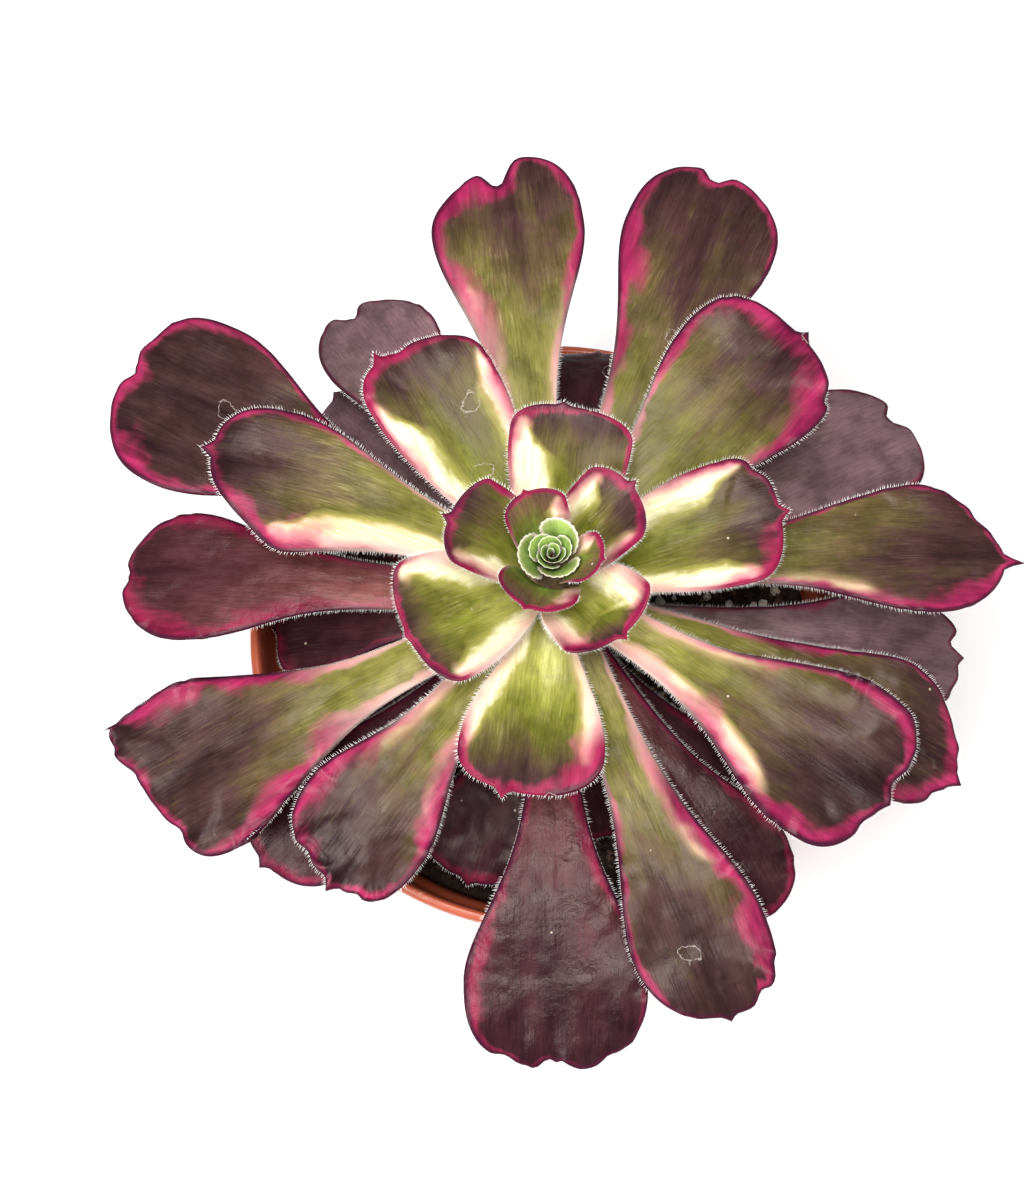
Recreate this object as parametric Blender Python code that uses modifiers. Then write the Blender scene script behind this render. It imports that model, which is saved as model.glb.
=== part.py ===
"""A potted aeonium: one rosette of succulent leaves on a short stem, planted in a thin plastic pot.

Metres, +Z up. The origin is the middle of the pot's flat base, and +X and -Y are the right and the
front of the plant as it is usually looked at.
"""

from math import cos, pi, radians, sin

import bmesh
import bpy
import numpy as np

MM = 0.001
GAP = 0.3 * MM  # between pieces that touch

# Pot
RIM_RADIUS = 52.5 * MM
POT_HEIGHT = 92 * MM
BASE_RADIUS = 37 * MM
WALL = 1.2 * MM
FLOOR = 1.6 * MM
BAND_HEIGHT = 15 * MM
BAND_STEP = 2.2 * MM  # how far the rim band stands out from the wall below it
LIP_THICK = 1.9 * MM
POT_STEPS = 56
DRAIN_COUNT = 8
DRAIN_RADIUS = 3.4 * MM
DRAIN_RING = 27 * MM

# Potting mix
SOIL_TOP = POT_HEIGHT - 17 * MM
ROOT_DEPTH = 28 * MM
SOIL_STEPS = 40
STONES = (  # azimuth in degrees, distance from the stem and size in mm
    (-62, 38, 4.6),
    (-118, 39, 4.2),
    (-150, 27, 4.8),
    (24, 40, 4.4),
    (88, 36, 4.0),
    (150, 41, 4.9),
)

# Stem
STEM_RADIUS = 6.5 * MM
STEM_TIP_RADIUS = 1.0 * MM
STEM_STEPS = 16
BUD_RADIUS = 1.7 * MM
BUD_HEIGHT = 6.0 * MM

# Leaves, numbered from the youngest at the heart to the oldest at the foot
GOLDEN_ANGLE = 137.5
FIRST_AZIMUTH = -845.0  # puts leaf 6 at -20 degrees
FIRST_LEAF, LAST_LEAF = 3, 50
CROWN_LEAF = 20  # the leaves above this one crowd together on the tapering stem tip
CROWN_TOP = POT_HEIGHT + 36 * MM
CROWN_SPACING = 0.7 * MM
SPACING = 1.0 * MM
LEAF_ROWS, LEAF_COLUMNS = 9, 5
WIDEST_AT = 0.80  # share of the leaf's length

# number: lean from the golden angle in degrees, reach of the tip from the stem's axis, height of the
# tip above the rim and width of the blade in mm, arch in degrees, sideways bow in mm
LEAVES = {
    3: (2, 4.4, 43.0, 4.8, 8, 0),
    4: (-8, 4.7, 43.4, 4.8, 8, 0),
    5: (-16, 5.0, 43.0, 5.8, 8, 0),
    6: (2, 7.6, 44.5, 8.2, 16, 0),
    7: (-5, 9.0, 44.0, 9.8, 18, 0),
    8: (-4, 9.6, 42.4, 12.4, 19, 0),
    9: (3, 15.0, 43.8, 13.5, 12, 0),
    10: (-12, 16.3, 41.2, 14.5, 10, 0),
    11: (2, 16.2, 39.8, 16.5, 10, 0),
    12: (-4, 23.2, 41.6, 19.0, 8, 0),
    13: (-13, 24.8, 38.0, 21.2, 7, 0),
    14: (13, 36.2, 35.4, 20.5, 6, 0),
    15: (-14, 42.5, 37.0, 21.0, 4, 0),
    16: (-11, 36.0, 36.0, 22.0, 4, 0),
    17: (-7, 55.8, 33.4, 27.0, 2, 0),
    18: (-26.5, 57.0, 33.0, 24.0, 3, -2),
    19: (-2, 62.0, 28.0, 27.0, 6, 0),
    20: (-8, 73.0, 30.0, 25.5, 5, 0),
    21: (-9, 58.3, 25.0, 22.0, 8, 0),
    22: (-16, 72.5, 24.0, 21.5, 9, 2),
    23: (-4, 79.0, 27.0, 30.0, 10, 0),
    24: (-3, 72.4, 19.0, 21.5, 12, 0),
    25: (-5, 78.5, 25.0, 26.0, 10, 0),
    26: (-2.5, 75.5, 16.0, 28.5, 12, 0),
    27: (-11, 70.5, 15.0, 22.0, 13, 2),
    28: (-2, 65.5, 11.0, 21.0, 15, 0),
    29: (8, 75.0, 12.0, 28.5, 15, 0),
    30: (7, 58.0, 13.5, 22.0, 15, 0),
    31: (-1, 72.1, 13.0, 22.0, 15, 0),
    32: (-12, 62.0, 7.0, 22.0, 16, 0),
    33: (-12, 50.0, 4.0, 20.0, 20, 0),
    34: (-8, 63.5, 6.5, 22.0, 18, 0),
    35: (21, 71.0, 7.0, 24.0, 16, 0),
    36: (-12, 56.3, 4.0, 20.0, 20, 0),
    37: (4, 38.0, -4.0, 18.0, 20, 0),
    38: (-4, 51.0, 2.0, 16.0, 18, 0),
    39: (-18, 49.0, -4.0, 21.0, 20, 0),
    40: (18, 69.6, 5.0, 21.0, 18, 0),
    41: (-9, 46.0, -4.0, 17.0, 20, 0),
    42: (2, 46.0, -6.0, 21.0, 20, 0),
    43: (0, 44.0, -6.0, 16.0, 20, 0),
    44: (0, 42.0, -8.0, 15.0, 20, 0),
    45: (12, 46.0, -7.0, 19.0, 20, 0),
    46: (0, 38.0, -9.0, 14.0, 20, 0),
    47: (-14, 34.8, -10.0, 13.0, 20, 0),
    48: (0, 38.0, -11.0, 14.0, 20, 0),
    49: (0, 34.0, -12.0, 13.0, 20, 0),
    50: (12, 36.0, -12.0, 14.0, 20, 0),
}


def clear_scene():
    for item in list(bpy.data.objects):
        bpy.data.objects.remove(item, do_unlink=True)


def new_collection(name):
    made = bpy.data.collections.new(name)
    bpy.context.scene.collection.children.link(made)
    return made


def principled(name, colour, roughness):
    """A plain material of one colour."""
    made = bpy.data.materials.new(name)
    made.use_nodes = True
    shader = made.node_tree.nodes["Principled BSDF"]
    shader.inputs["Base Color"].default_value = (*colour, 1)
    shader.inputs["Roughness"].default_value = roughness
    made.diffuse_color = (*colour, 1)
    return made


def object_of(name, mesh, material, collection):
    made = bpy.data.objects.new(name, mesh)
    made.data.materials.append(material)
    collection.objects.link(made)
    return made


def turned(name, profile, steps, material, collection):
    """A solid of revolution: the profile, (radius, height) pairs, swept about the Z axis by a Screw."""
    mesh = bpy.data.meshes.new(name)
    form = bmesh.new()
    points = [form.verts.new((radius, 0, height)) for radius, height in profile]
    for start, end in zip(points, points[1:]):
        form.edges.new((start, end))
    form.to_mesh(mesh)
    form.free()
    made = object_of(name, mesh, material, collection)
    screw = made.modifiers.new("Turn", "SCREW")
    screw.steps = screw.render_steps = steps
    screw.use_merge_vertices = True
    screw.merge_threshold = 0.01 * MM
    screw.use_smooth_shade = False
    return made


def pot_outside():
    """The pot's outer side from the lip down to the base, as (radius, height) pairs."""
    band_foot = POT_HEIGHT - BAND_HEIGHT
    wall_top = RIM_RADIUS - BAND_STEP - 1.6 * MM
    return [
        (RIM_RADIUS - 1.0 * MM, POT_HEIGHT),
        (RIM_RADIUS, POT_HEIGHT - 0.9 * MM),
        (RIM_RADIUS - 0.2 * MM, POT_HEIGHT - 3.2 * MM),
        (RIM_RADIUS - 0.9 * MM, POT_HEIGHT - 4.0 * MM),
        (RIM_RADIUS - 1.6 * MM, band_foot + 0.6 * MM),
        (wall_top, band_foot - 0.6 * MM),
        (BASE_RADIUS + 0.8 * MM, 2.0 * MM),
        (BASE_RADIUS, 0),
    ]


def pot_inside():
    """The pot's inner side from the floor up to the lip, as (radius, height) pairs."""
    band_foot = POT_HEIGHT - BAND_HEIGHT
    wall_top = RIM_RADIUS - BAND_STEP - 1.6 * MM
    return [
        (BASE_RADIUS - WALL + 0.2 * MM, FLOOR),
        (wall_top - WALL, band_foot - 1.0 * MM),
        (RIM_RADIUS - 1.6 * MM - WALL, band_foot + 1.0 * MM),
        (RIM_RADIUS - 1.0 * MM - WALL, POT_HEIGHT - 4.0 * MM),
        (RIM_RADIUS - LIP_THICK, POT_HEIGHT - 1.0 * MM),
    ]


def inner_radius(height):
    """The radius of the pot's inner face at a height."""
    inside = pot_inside()
    return float(np.interp(height, [z for _, z in inside], [r for r, _ in inside]))


def make_pot(parts, cutters):
    """A thin tapered pot with a stepped band under its lip and a ring of drain holes in its floor."""
    terracotta = principled("terracotta_plastic", (0.60, 0.13, 0.06), 0.45)
    profile = [(0, FLOOR), *pot_inside(), *pot_outside(), (0, 0)]
    pot = turned("pot", profile, POT_STEPS, terracotta, parts)
    for number in range(DRAIN_COUNT):
        turn = 2 * pi * (number + 0.5) / DRAIN_COUNT
        bpy.ops.mesh.primitive_cylinder_add(
            vertices=10,
            radius=DRAIN_RADIUS,
            depth=4 * FLOOR,
            location=(DRAIN_RING * cos(turn), DRAIN_RING * sin(turn), FLOOR / 2),
        )
        drill = bpy.context.object
        drill.name = f"drain_cutter_{number + 1}"
        drill.hide_render = True
        drill.display_type = "WIRE"
        for holder in list(drill.users_collection):
            holder.objects.unlink(drill)
        cutters.objects.link(drill)
        cut = pot.modifiers.new(f"Drain {number + 1}", "BOOLEAN")
        cut.object = drill
        cut.operation = "DIFFERENCE"


def make_soil(parts):
    """The potting mix: it fills the pot to below the rim, with a well in it for the buried stem."""
    mix = principled("potting_mix", (0.035, 0.025, 0.02), 0.95)
    well = stem_radius(SOIL_TOP) + GAP
    foot = FLOOR + GAP
    profile = [
        (0, SOIL_TOP - ROOT_DEPTH - GAP),
        (well, SOIL_TOP - ROOT_DEPTH - GAP),
        (well, SOIL_TOP + 1.2 * MM),
        (well + 9 * MM, SOIL_TOP + 0.8 * MM),
        (inner_radius(SOIL_TOP) - 8 * MM, SOIL_TOP),
        (inner_radius(SOIL_TOP) - GAP, SOIL_TOP - 0.5 * MM),
        (inner_radius(foot) - GAP, foot),
        (0, foot),
    ]
    turned("soil", profile, SOIL_STEPS, mix, parts)


def make_stones(parts):
    """Pieces of pumice that lie on the potting mix."""
    pumice = principled("pumice", (0.62, 0.58, 0.50), 0.9)
    for number, (azimuth, distance, size) in enumerate(STONES, 1):
        mesh = bpy.data.meshes.new(f"pumice_{number}")
        form = bmesh.new()
        bmesh.ops.create_icosphere(form, subdivisions=2, radius=size / 2 * MM)
        form.to_mesh(mesh)
        form.free()
        points = np.empty(len(mesh.vertices) * 3)
        mesh.vertices.foreach_get("co", points)
        points = points.reshape(-1, 3)
        lumps = 1 + 0.10 * np.sin(points @ (1900.0, 700.0, 1300.0) + 1.7 * number)
        points *= lumps[:, None] * (1.0, 0.85, 0.7)
        turn = radians(azimuth)
        lowest = points[:, 2].min()
        points += (
            distance * MM * cos(turn),
            distance * MM * sin(turn),
            SOIL_TOP + GAP + 0.2 * MM - lowest,
        )
        mesh.vertices.foreach_set("co", points.reshape(-1))
        object_of(f"pumice_{number}", mesh, pumice, parts)


def leaf_height(number):
    """The height at which a leaf leaves the stem."""
    crowded = min(number, CROWN_LEAF) - FIRST_LEAF
    spaced = max(number - CROWN_LEAF, 0)
    return CROWN_TOP - crowded * CROWN_SPACING - spaced * SPACING


def stem_radius(height):
    """The stem's radius: it tapers to the growing tip over the crowded leaves."""
    crown_foot = leaf_height(CROWN_LEAF)
    share = np.clip((CROWN_TOP - height) / (CROWN_TOP - crown_foot), 0, 1)
    return STEM_TIP_RADIUS + (STEM_RADIUS - STEM_TIP_RADIUS) * share


def make_stem(parts):
    """The short stem, buried at its foot, that carries every leaf."""
    bark = principled("stem_bark", (0.22, 0.15, 0.09), 0.8)
    heights = [CROWN_TOP, leaf_height(CROWN_LEAF), SOIL_TOP, SOIL_TOP - ROOT_DEPTH]
    side = [(stem_radius(height), height) for height in heights]
    profile = [(0, heights[0]), *side, (0, heights[-1])]
    turned("stem", profile, STEM_STEPS, bark, parts)


def make_bud(parts):
    """The closed bud of unopened leaves at the growing tip, grown as one piece."""
    green = principled("bud_green", (0.42, 0.55, 0.14), 0.45)
    foot = CROWN_TOP + GAP
    profile = [(0, foot + BUD_HEIGHT)]
    for share in (0.92, 0.75, 0.5, 0.25, 0.08):
        swell = sin(pi * share ** 0.8) ** 0.6
        profile.append((BUD_RADIUS * swell, foot + BUD_HEIGHT * share))
    profile.append((0, foot))
    turned("heart_bud", profile, 12, green, parts)


def half_width(number, along, widest):
    """Half of the blade's width at a share of the way to its widest row.

    The outer leaves are spoons, with a narrow neck that swells late. The inner ones are broad from
    near their foot.
    """
    neck = min(np.interp(number, (9, 17), (5.5, 3.6)) * MM, 0.60 * widest)
    late = np.interp(number, (8, 14, 16, 20, 30), (0.8, 1.1, 1.4, 2.6, 3.0))
    power = np.interp(number, (12, 16, 20), (0.9, 1.1, 1.4))
    rise = np.sin(np.clip(along, 0, 1) ** late * pi / 2) ** power
    return neck + (widest - neck) * rise


def flesh(number):
    """A leaf's thickness: the young ones are thinner."""
    return min(1.7, 0.5 + 0.07 * number) * MM


def leaf_surface(number):
    """The leaf's upper face, as an array of points with a row for each step along it.

    The midrib is an arc of a circle in an upright plane, from the stem to the tip. Across it, the
    columns spread by the sine of an angle, so that they end on an elliptical tip, and the face is
    cupped by the square of the distance from the midrib.
    """
    lean, reach, tip_height, width, arch, bow = LEAVES[number]
    azimuth = radians(FIRST_AZIMUTH + GOLDEN_ANGLE * number + lean)
    foot_height = leaf_height(number)
    foot_radius = stem_radius(foot_height - flesh(number)) + GAP
    run = reach * MM - foot_radius
    climb = POT_HEIGHT + tip_height * MM - foot_height
    chord, slope = np.hypot(run, climb), np.arctan2(climb, run)
    bend = radians(arch)

    share = np.linspace(0, 1, LEAF_ROWS)[:, None]
    angle = np.linspace(-pi / 2, pi / 2, LEAF_COLUMNS)[None, :]
    across = np.sin(angle)
    along = share * (WIDEST_AT + (1 - WIDEST_AT) * np.cos(angle))
    half = half_width(number, along / WIDEST_AT, width / 2 * MM)

    turn = bend * (1 - 2 * along)
    ahead = chord * (sin(bend) - np.sin(turn)) / (2 * sin(bend))
    above = chord * (np.cos(turn) - cos(bend)) / (2 * sin(bend))
    radial = foot_radius + ahead * cos(slope) - above * sin(slope)
    height = foot_height + ahead * sin(slope) + above * cos(slope)
    pitch = slope + turn

    # The cup follows the ring round the axis near the heart and flattens in the outer leaves.
    ring = np.maximum(radial, 2.5 * MM)
    cup = np.clip(half / (2 * ring), 0, 0.42) * np.clip(1.25 - number / 40, 0.35, 1)
    side = half * across + bow * MM * 4 * along * (1 - along)
    lift = cup * half * across ** 2
    radial = radial - lift * np.sin(pitch)
    height = height + lift * np.cos(pitch)
    x = radial * cos(azimuth) - side * sin(azimuth)
    y = radial * sin(azimuth) + side * cos(azimuth)
    return np.stack([x, y, height], axis=-1)


def make_leaf(number, material, parts):
    """One leaf: a grid laid on its upper face and thickened downwards."""
    name = f"leaf_{number:02d}"
    mesh = bpy.data.meshes.new(name)
    form = bmesh.new()
    bmesh.ops.create_grid(
        form, x_segments=LEAF_ROWS - 1, y_segments=LEAF_COLUMNS - 1, size=0.5
    )
    form.to_mesh(mesh)
    form.free()
    flat = np.empty(len(mesh.vertices) * 3)
    mesh.vertices.foreach_get("co", flat)
    flat = flat.reshape(-1, 3)
    row = np.rint((flat[:, 0] + 0.5) * (LEAF_ROWS - 1)).astype(int)
    column = np.rint((flat[:, 1] + 0.5) * (LEAF_COLUMNS - 1)).astype(int)
    mesh.vertices.foreach_set("co", leaf_surface(number)[row, column].reshape(-1))
    leaf = object_of(name, mesh, material, parts)
    shell = leaf.modifiers.new("Flesh", "SOLIDIFY")
    shell.thickness = flesh(number)
    shell.offset = -1
    shell.use_even_offset = False


def make_leaves(parts):
    """Every leaf, with a colour that runs from the green heart to the dark old leaves."""
    young, old = np.array((0.35, 0.42, 0.12)), np.array((0.10, 0.025, 0.04))
    for number in range(FIRST_LEAF, LAST_LEAF + 1):
        age = (number - FIRST_LEAF) / (LAST_LEAF - FIRST_LEAF)
        colour = tuple(float(c) for c in young + (old - young) * age ** 0.6)
        make_leaf(number, principled(f"leaf_{number:02d}_skin", colour, 0.4), parts)


def main():
    clear_scene()
    parts = new_collection("potted_aeonium")
    cutters = new_collection("cutters")
    make_pot(parts, cutters)
    make_soil(parts)
    make_stones(parts)
    make_stem(parts)
    make_bud(parts)
    make_leaves(parts)


main()
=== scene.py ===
# %% [markdown]
# # A potted aeonium
# The plant is one rosette of fleshy leaves on a short stem, in a thin terracotta-coloured plastic pot.
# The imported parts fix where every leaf, the stem, the potting mix and the pot are. This lesson lays
# finer surfaces over them, leaf by leaf, and gives each one its finish.

# %% The frame
from math import cos, pi, radians, sin

import bpy
import numpy as np
from mathutils import Matrix, Vector


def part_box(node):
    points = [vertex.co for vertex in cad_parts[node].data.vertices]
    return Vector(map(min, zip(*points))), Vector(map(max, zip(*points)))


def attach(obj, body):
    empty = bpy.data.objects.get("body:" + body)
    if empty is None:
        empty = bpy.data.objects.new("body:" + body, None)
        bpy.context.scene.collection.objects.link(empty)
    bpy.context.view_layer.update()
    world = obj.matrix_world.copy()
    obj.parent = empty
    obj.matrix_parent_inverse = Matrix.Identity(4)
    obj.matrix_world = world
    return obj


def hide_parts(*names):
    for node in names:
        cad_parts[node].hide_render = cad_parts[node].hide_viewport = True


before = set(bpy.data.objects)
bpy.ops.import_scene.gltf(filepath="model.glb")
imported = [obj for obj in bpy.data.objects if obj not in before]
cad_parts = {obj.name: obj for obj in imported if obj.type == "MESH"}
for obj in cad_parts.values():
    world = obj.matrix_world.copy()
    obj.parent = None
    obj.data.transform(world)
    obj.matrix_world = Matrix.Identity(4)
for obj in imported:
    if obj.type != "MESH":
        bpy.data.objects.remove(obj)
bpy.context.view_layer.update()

MM = 0.001
print("packed parts:", len(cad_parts))

# %% [markdown]
# ## From arrays to a mesh
# Every piece below is worked out as whole arrays of points, and its faces as whole arrays of point
# numbers. One helper turns them into a mesh, and a second turns a grid of points into its faces, so that
# each piece only has to say where its points are. Blender's own primitives would give the same faces, but
# not the control over where the rows of points fall, which is what keeps a thin leaf margin sharp.

# %% Mesh helpers
def new_mesh(name, points, faces):
    """A smooth mesh from an array of points and a list of face arrays, one for each number of corners."""
    mesh = bpy.data.meshes.new(name)
    corners = np.concatenate([block.reshape(-1) for block in faces])
    sizes = np.concatenate([np.full(len(block), block.shape[1]) for block in faces])
    mesh.vertices.add(len(points))
    mesh.vertices.foreach_set("co", np.asarray(points, np.float32).reshape(-1))
    mesh.loops.add(len(corners))
    mesh.loops.foreach_set("vertex_index", corners.astype(np.int32))
    mesh.polygons.add(len(sizes))
    mesh.polygons.foreach_set("loop_start", (np.cumsum(sizes) - sizes).astype(np.int32))
    mesh.polygons.foreach_set("use_smooth", np.ones(len(sizes), bool))
    mesh.update(calc_edges=True)
    mesh.validate()
    return mesh


def new_piece(name, mesh, material, replaced=()):
    """An object for the mesh that rides on the plant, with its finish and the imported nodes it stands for."""
    piece = bpy.data.objects.new(name, mesh)
    bpy.context.scene.collection.objects.link(piece)
    piece.data.materials.append(material)
    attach(piece, "root")
    if replaced:
        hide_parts(*replaced)
    return piece


def grid_faces(numbers):
    """Four-cornered faces between the neighbours of a grid of point numbers."""
    return np.stack(
        [numbers[:-1, :-1], numbers[1:, :-1], numbers[1:, 1:], numbers[:-1, 1:]], axis=-1
    ).reshape(-1, 4)


def sheet_faces(numbers):
    """The grid's faces, the four corner ones as triangles that are cut from the corner inwards.

    Two sheets that share their border then never share such a cut, so a closed pair stays manifold.
    """
    grid = grid_faces(numbers).reshape(numbers.shape[0] - 1, numbers.shape[1] - 1, 4)
    whole = np.ones(grid.shape[:2], bool)
    whole[[0, 0, -1, -1], [0, -1, 0, -1]] = False
    cut = [face[order] for face in (grid[0, 0], grid[-1, -1]) for order in ([0, 1, 2], [0, 2, 3])]
    cut += [face[order] for face in (grid[0, -1], grid[-1, 0]) for order in ([0, 1, 3], [1, 2, 3])]
    return grid[whole], np.array(cut)


print("meshes from grids")


# %% Fields and waves
def add_field(mesh, name, values):
    """A number for every point of the mesh, which its material can read by name."""
    field = mesh.attributes.new(name, "FLOAT", "POINT")
    field.data.foreach_set("value", np.asarray(values, np.float32).reshape(-1))


def waviness(points, length, seed, waves=14):
    """Smooth noise from -1 to 1: the mean of sine waves that run in random directions, about length long."""
    draw = np.random.default_rng(seed)
    directions = draw.normal(size=(waves, points.shape[-1]))
    directions /= np.linalg.norm(directions, axis=1, keepdims=True)
    pace = 2 * pi / (length * draw.uniform(0.6, 1.6, waves))
    turns = points @ (directions * pace[:, None]).T + draw.uniform(0, 2 * pi, waves)
    return np.sin(turns).sum(axis=-1) / np.sqrt(waves)


print("fields and waves ready")

# %% [markdown]
# ## Building a finish from nodes
# A finish is a small graph: patterns on the left, a Principled shader on the right. A short wrapper keeps
# each line of the graph to one step: it adds a node, sets its numbers and joins what comes in. Patterns
# read the object's own coordinates or the leaf's UV map, so they stay put when the piece is looked at
# from another side.

# %% A wrapper for node graphs
class Finish:
    """A material under construction. Each method adds one node and gives back the socket that matters."""

    def __init__(self, name, **constants):
        """What is the same all over the surface is set on the shader's own sockets."""
        self.material = bpy.data.materials.new(name)
        self.material.use_nodes = True
        self.tree = self.material.node_tree
        self.shader = self.tree.nodes["Principled BSDF"]
        for socket, value in constants.items():
            self.shader.inputs[socket.replace("_", " ")].default_value = value

    def join(self, value, socket):
        """A pattern is linked to the socket, and a plain number or colour is set on it."""
        if isinstance(value, bpy.types.NodeSocket):
            self.tree.links.new(value, socket)
        else:
            socket.default_value = (*value, 1) if socket.type == "RGBA" else value

    def node(self, kind, sockets=(), **settings):
        """A new node. Its sockets are filled in order, or by name or number if they are a dictionary."""
        node = self.tree.nodes.new("ShaderNode" + kind)
        for setting, value in settings.items():
            setattr(node, setting, value)
        for key, value in sockets.items() if isinstance(sockets, dict) else enumerate(sockets):
            self.join(value, node.inputs[key])
        return node

    def place(self):
        """The object's own coordinates, in metres."""
        return self.node("TexCoord").outputs["Object"]

    def lengthwise(self, stretch):
        """The leaf's UV map, in metres along and across the blade, scaled by stretch."""
        flat = self.node("UVMap").outputs["UV"]
        return self.node("VectorMath", (flat, (*stretch, 1)), operation="MULTIPLY").outputs[0]

    def field(self, name):
        """The number that the mesh keeps under this name at each point."""
        return self.node("Attribute", attribute_name=name).outputs["Fac"]

    def noise(self, where, scale, detail=3.0, roughness=0.55, distortion=0.0):
        """Cloudy noise from 0 to 1."""
        sockets = {"Vector": where, "Scale": scale, "Detail": detail, "Roughness": roughness}
        return self.node("TexNoise", sockets | {"Distortion": distortion}).outputs["Fac"]

    def cells(self, where, scale):
        """A pattern of cells: how far the nearest cell's middle is, and a random colour for each cell."""
        return self.node("TexVoronoi", {"Vector": where, "Scale": scale})

    def chance(self, cells):
        """A random number from 0 to 1 for each cell: the red part of its colour."""
        return self.node("SeparateColor", (cells.outputs["Color"],)).outputs[0]

    def math(self, operation, a, b=0.0, c=0.0):
        """One step of arithmetic."""
        return self.node("Math", (a, b, c), operation=operation).outputs[0]

    def plus(self, a, b):
        return self.math("ADD", a, b)

    def minus(self, a, b):
        return self.math("SUBTRACT", a, b)

    def times(self, a, b):
        return self.math("MULTIPLY", a, b)

    def scaled(self, value, factor, added):
        """The value times a factor, with a number or another pattern added."""
        return self.math("MULTIPLY_ADD", value, factor, added)

    def remap(self, value, low, high, to_low=0.0, to_high=1.0):
        """The value moved smoothly from one range to another, and held inside it."""
        ranges = (value, low, high, to_low, to_high)
        return self.node("MapRange", ranges, interpolation_type="SMOOTHSTEP").outputs[0]

    def grey(self, value):
        """The value as a grey colour."""
        return self.node("CombineColor", (value, value, value)).outputs[0]

    def mix(self, share, a, b, blend="MIX"):
        """From colour a to colour b. The colour sockets of a Mix node are its seventh and eighth."""
        return self.node("Mix", {0: share, 6: a, 7: b}, data_type="RGBA", blend_type=blend).outputs[2]

    def ramp(self, value, stops):
        """Colours at positions along a scale, blended between."""
        node = self.node("ValToRGB", (value,))
        marks = node.color_ramp.elements
        while len(marks) < len(stops):
            marks.new(0.5)
        for mark, (position, colour) in zip(marks, stops):
            mark.position, mark.color = position, (*colour, 1)
        return node.outputs["Color"]

    def bump(self, height, strength, distance, over=None):
        """A surface normal tilted by the height pattern, on top of another bump if given."""
        sockets = {"Strength": strength, "Distance": distance, "Height": height}
        return self.node("Bump", sockets if over is None else sockets | {"Normal": over}).outputs["Normal"]

    def wear(self, colour, roughness=None, normal=None):
        """The finished patterns go into the shader."""
        for value, name in ((colour, "Base Color"), (roughness, "Roughness"), (normal, "Normal")):
            if value is not None:
                self.join(value, self.shader.inputs[name])
        return self.material


print("finish wrapper ready")

# %% [markdown]
# ## The camera and the light
# The plant is looked at steeply from above and a little from the front. Light is a wide pale sky with three
# soft lamps: one above, one at the front left that is as strong, and a weaker, larger one at the right. Small
# lamps would give hard white spots on the waxy leaves, and the sky alone would leave the leaves flat. The
# floor is a plain pale disc.

# %% The camera
POT_HEIGHT = 92 * MM
RIM_CENTRE = Vector((0, 0, POT_HEIGHT))
TILT = radians(15.4)
DISTANCE = 300 * MM
AIM = Vector((-6.9 * MM, 3.9 * MM, 93.1 * MM))
SENSOR_WIDTH, LENS = 36, 52.06

camera = bpy.data.objects.new("camera", bpy.data.cameras.new("camera"))
camera.data.sensor_width, camera.data.lens = SENSOR_WIDTH, LENS
camera.data.clip_start = 0.01
camera.location = RIM_CENTRE + DISTANCE * Vector((0, -sin(TILT), cos(TILT)))
backward = (camera.location - AIM).normalized()
upward = backward.cross(Vector((1, 0, 0))).normalized()
camera.rotation_euler = Matrix((upward.cross(backward), upward, backward)).transposed().to_euler()
bpy.context.scene.collection.objects.link(camera)
bpy.context.scene.camera = camera
print("camera at", tuple(round(c, 4) for c in camera.location))

# %% Sky and lamps
bpy.context.scene.view_settings.view_transform = "Standard"
sky = bpy.data.worlds.new("sky")
sky.use_nodes = True
white = sky.node_tree.nodes["Background"]
white.inputs["Color"].default_value, white.inputs["Strength"].default_value = (1, 1, 1, 1), 0.34
bpy.context.scene.world = sky


def soft_lamp(name, spot, size, power):
    """A square lamp that faces the middle of the plant."""
    lamp = bpy.data.objects.new(name, bpy.data.lights.new(name, "AREA"))
    lamp.data.size, lamp.data.energy = size, power
    lamp.location = spot
    lamp.rotation_euler = (Vector((0, 0, 0.1)) - lamp.location).to_track_quat("-Z", "Y").to_euler()
    bpy.context.scene.collection.objects.link(lamp)


soft_lamp("lamp_above", Vector((-0.03, -0.06, 0.74)), 0.28, 4.4)
soft_lamp("lamp_left", Vector((-0.45, -0.35, 0.65)), 0.30, 4.6)
soft_lamp("lamp_right", Vector((0.9, -0.3, 0.55)), 0.7, 2.6)
print("lamps:", len(bpy.data.lights))

# %% The floor
DISC_RADIUS, DISC_SIDES = 4.0, 96
turn = np.linspace(0, 2 * pi, DISC_SIDES + 1)[:-1]
disc = DISC_RADIUS * np.stack([np.cos(turn), np.sin(turn), 0 * turn], axis=-1)
floor = bpy.data.objects.new("floor", new_mesh("floor", disc, [np.arange(DISC_SIDES)[None, :]]))
paper = Finish("floor_paper", Roughness=0.9)
grain = paper.noise(paper.place(), 3.0)
paper.wear(paper.ramp(grain, [(0.3, (0.93, 0.93, 0.93)), (0.7, (0.95, 0.95, 0.95))]))
floor.data.materials.append(paper.material)
bpy.context.scene.collection.objects.link(floor)
print("floor sides:", DISC_SIDES)

# %% [markdown]
# ## Where the leaves are
# An aeonium sets each new leaf 137.5 degrees round from the last one, so the whole rosette follows from a
# leaf's number and a few sizes of its own: how far it reaches, how high its tip stands, how wide it is and
# how much it arches. The oldest leaves are the lowest, and the youngest crowd together round the heart.

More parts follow.
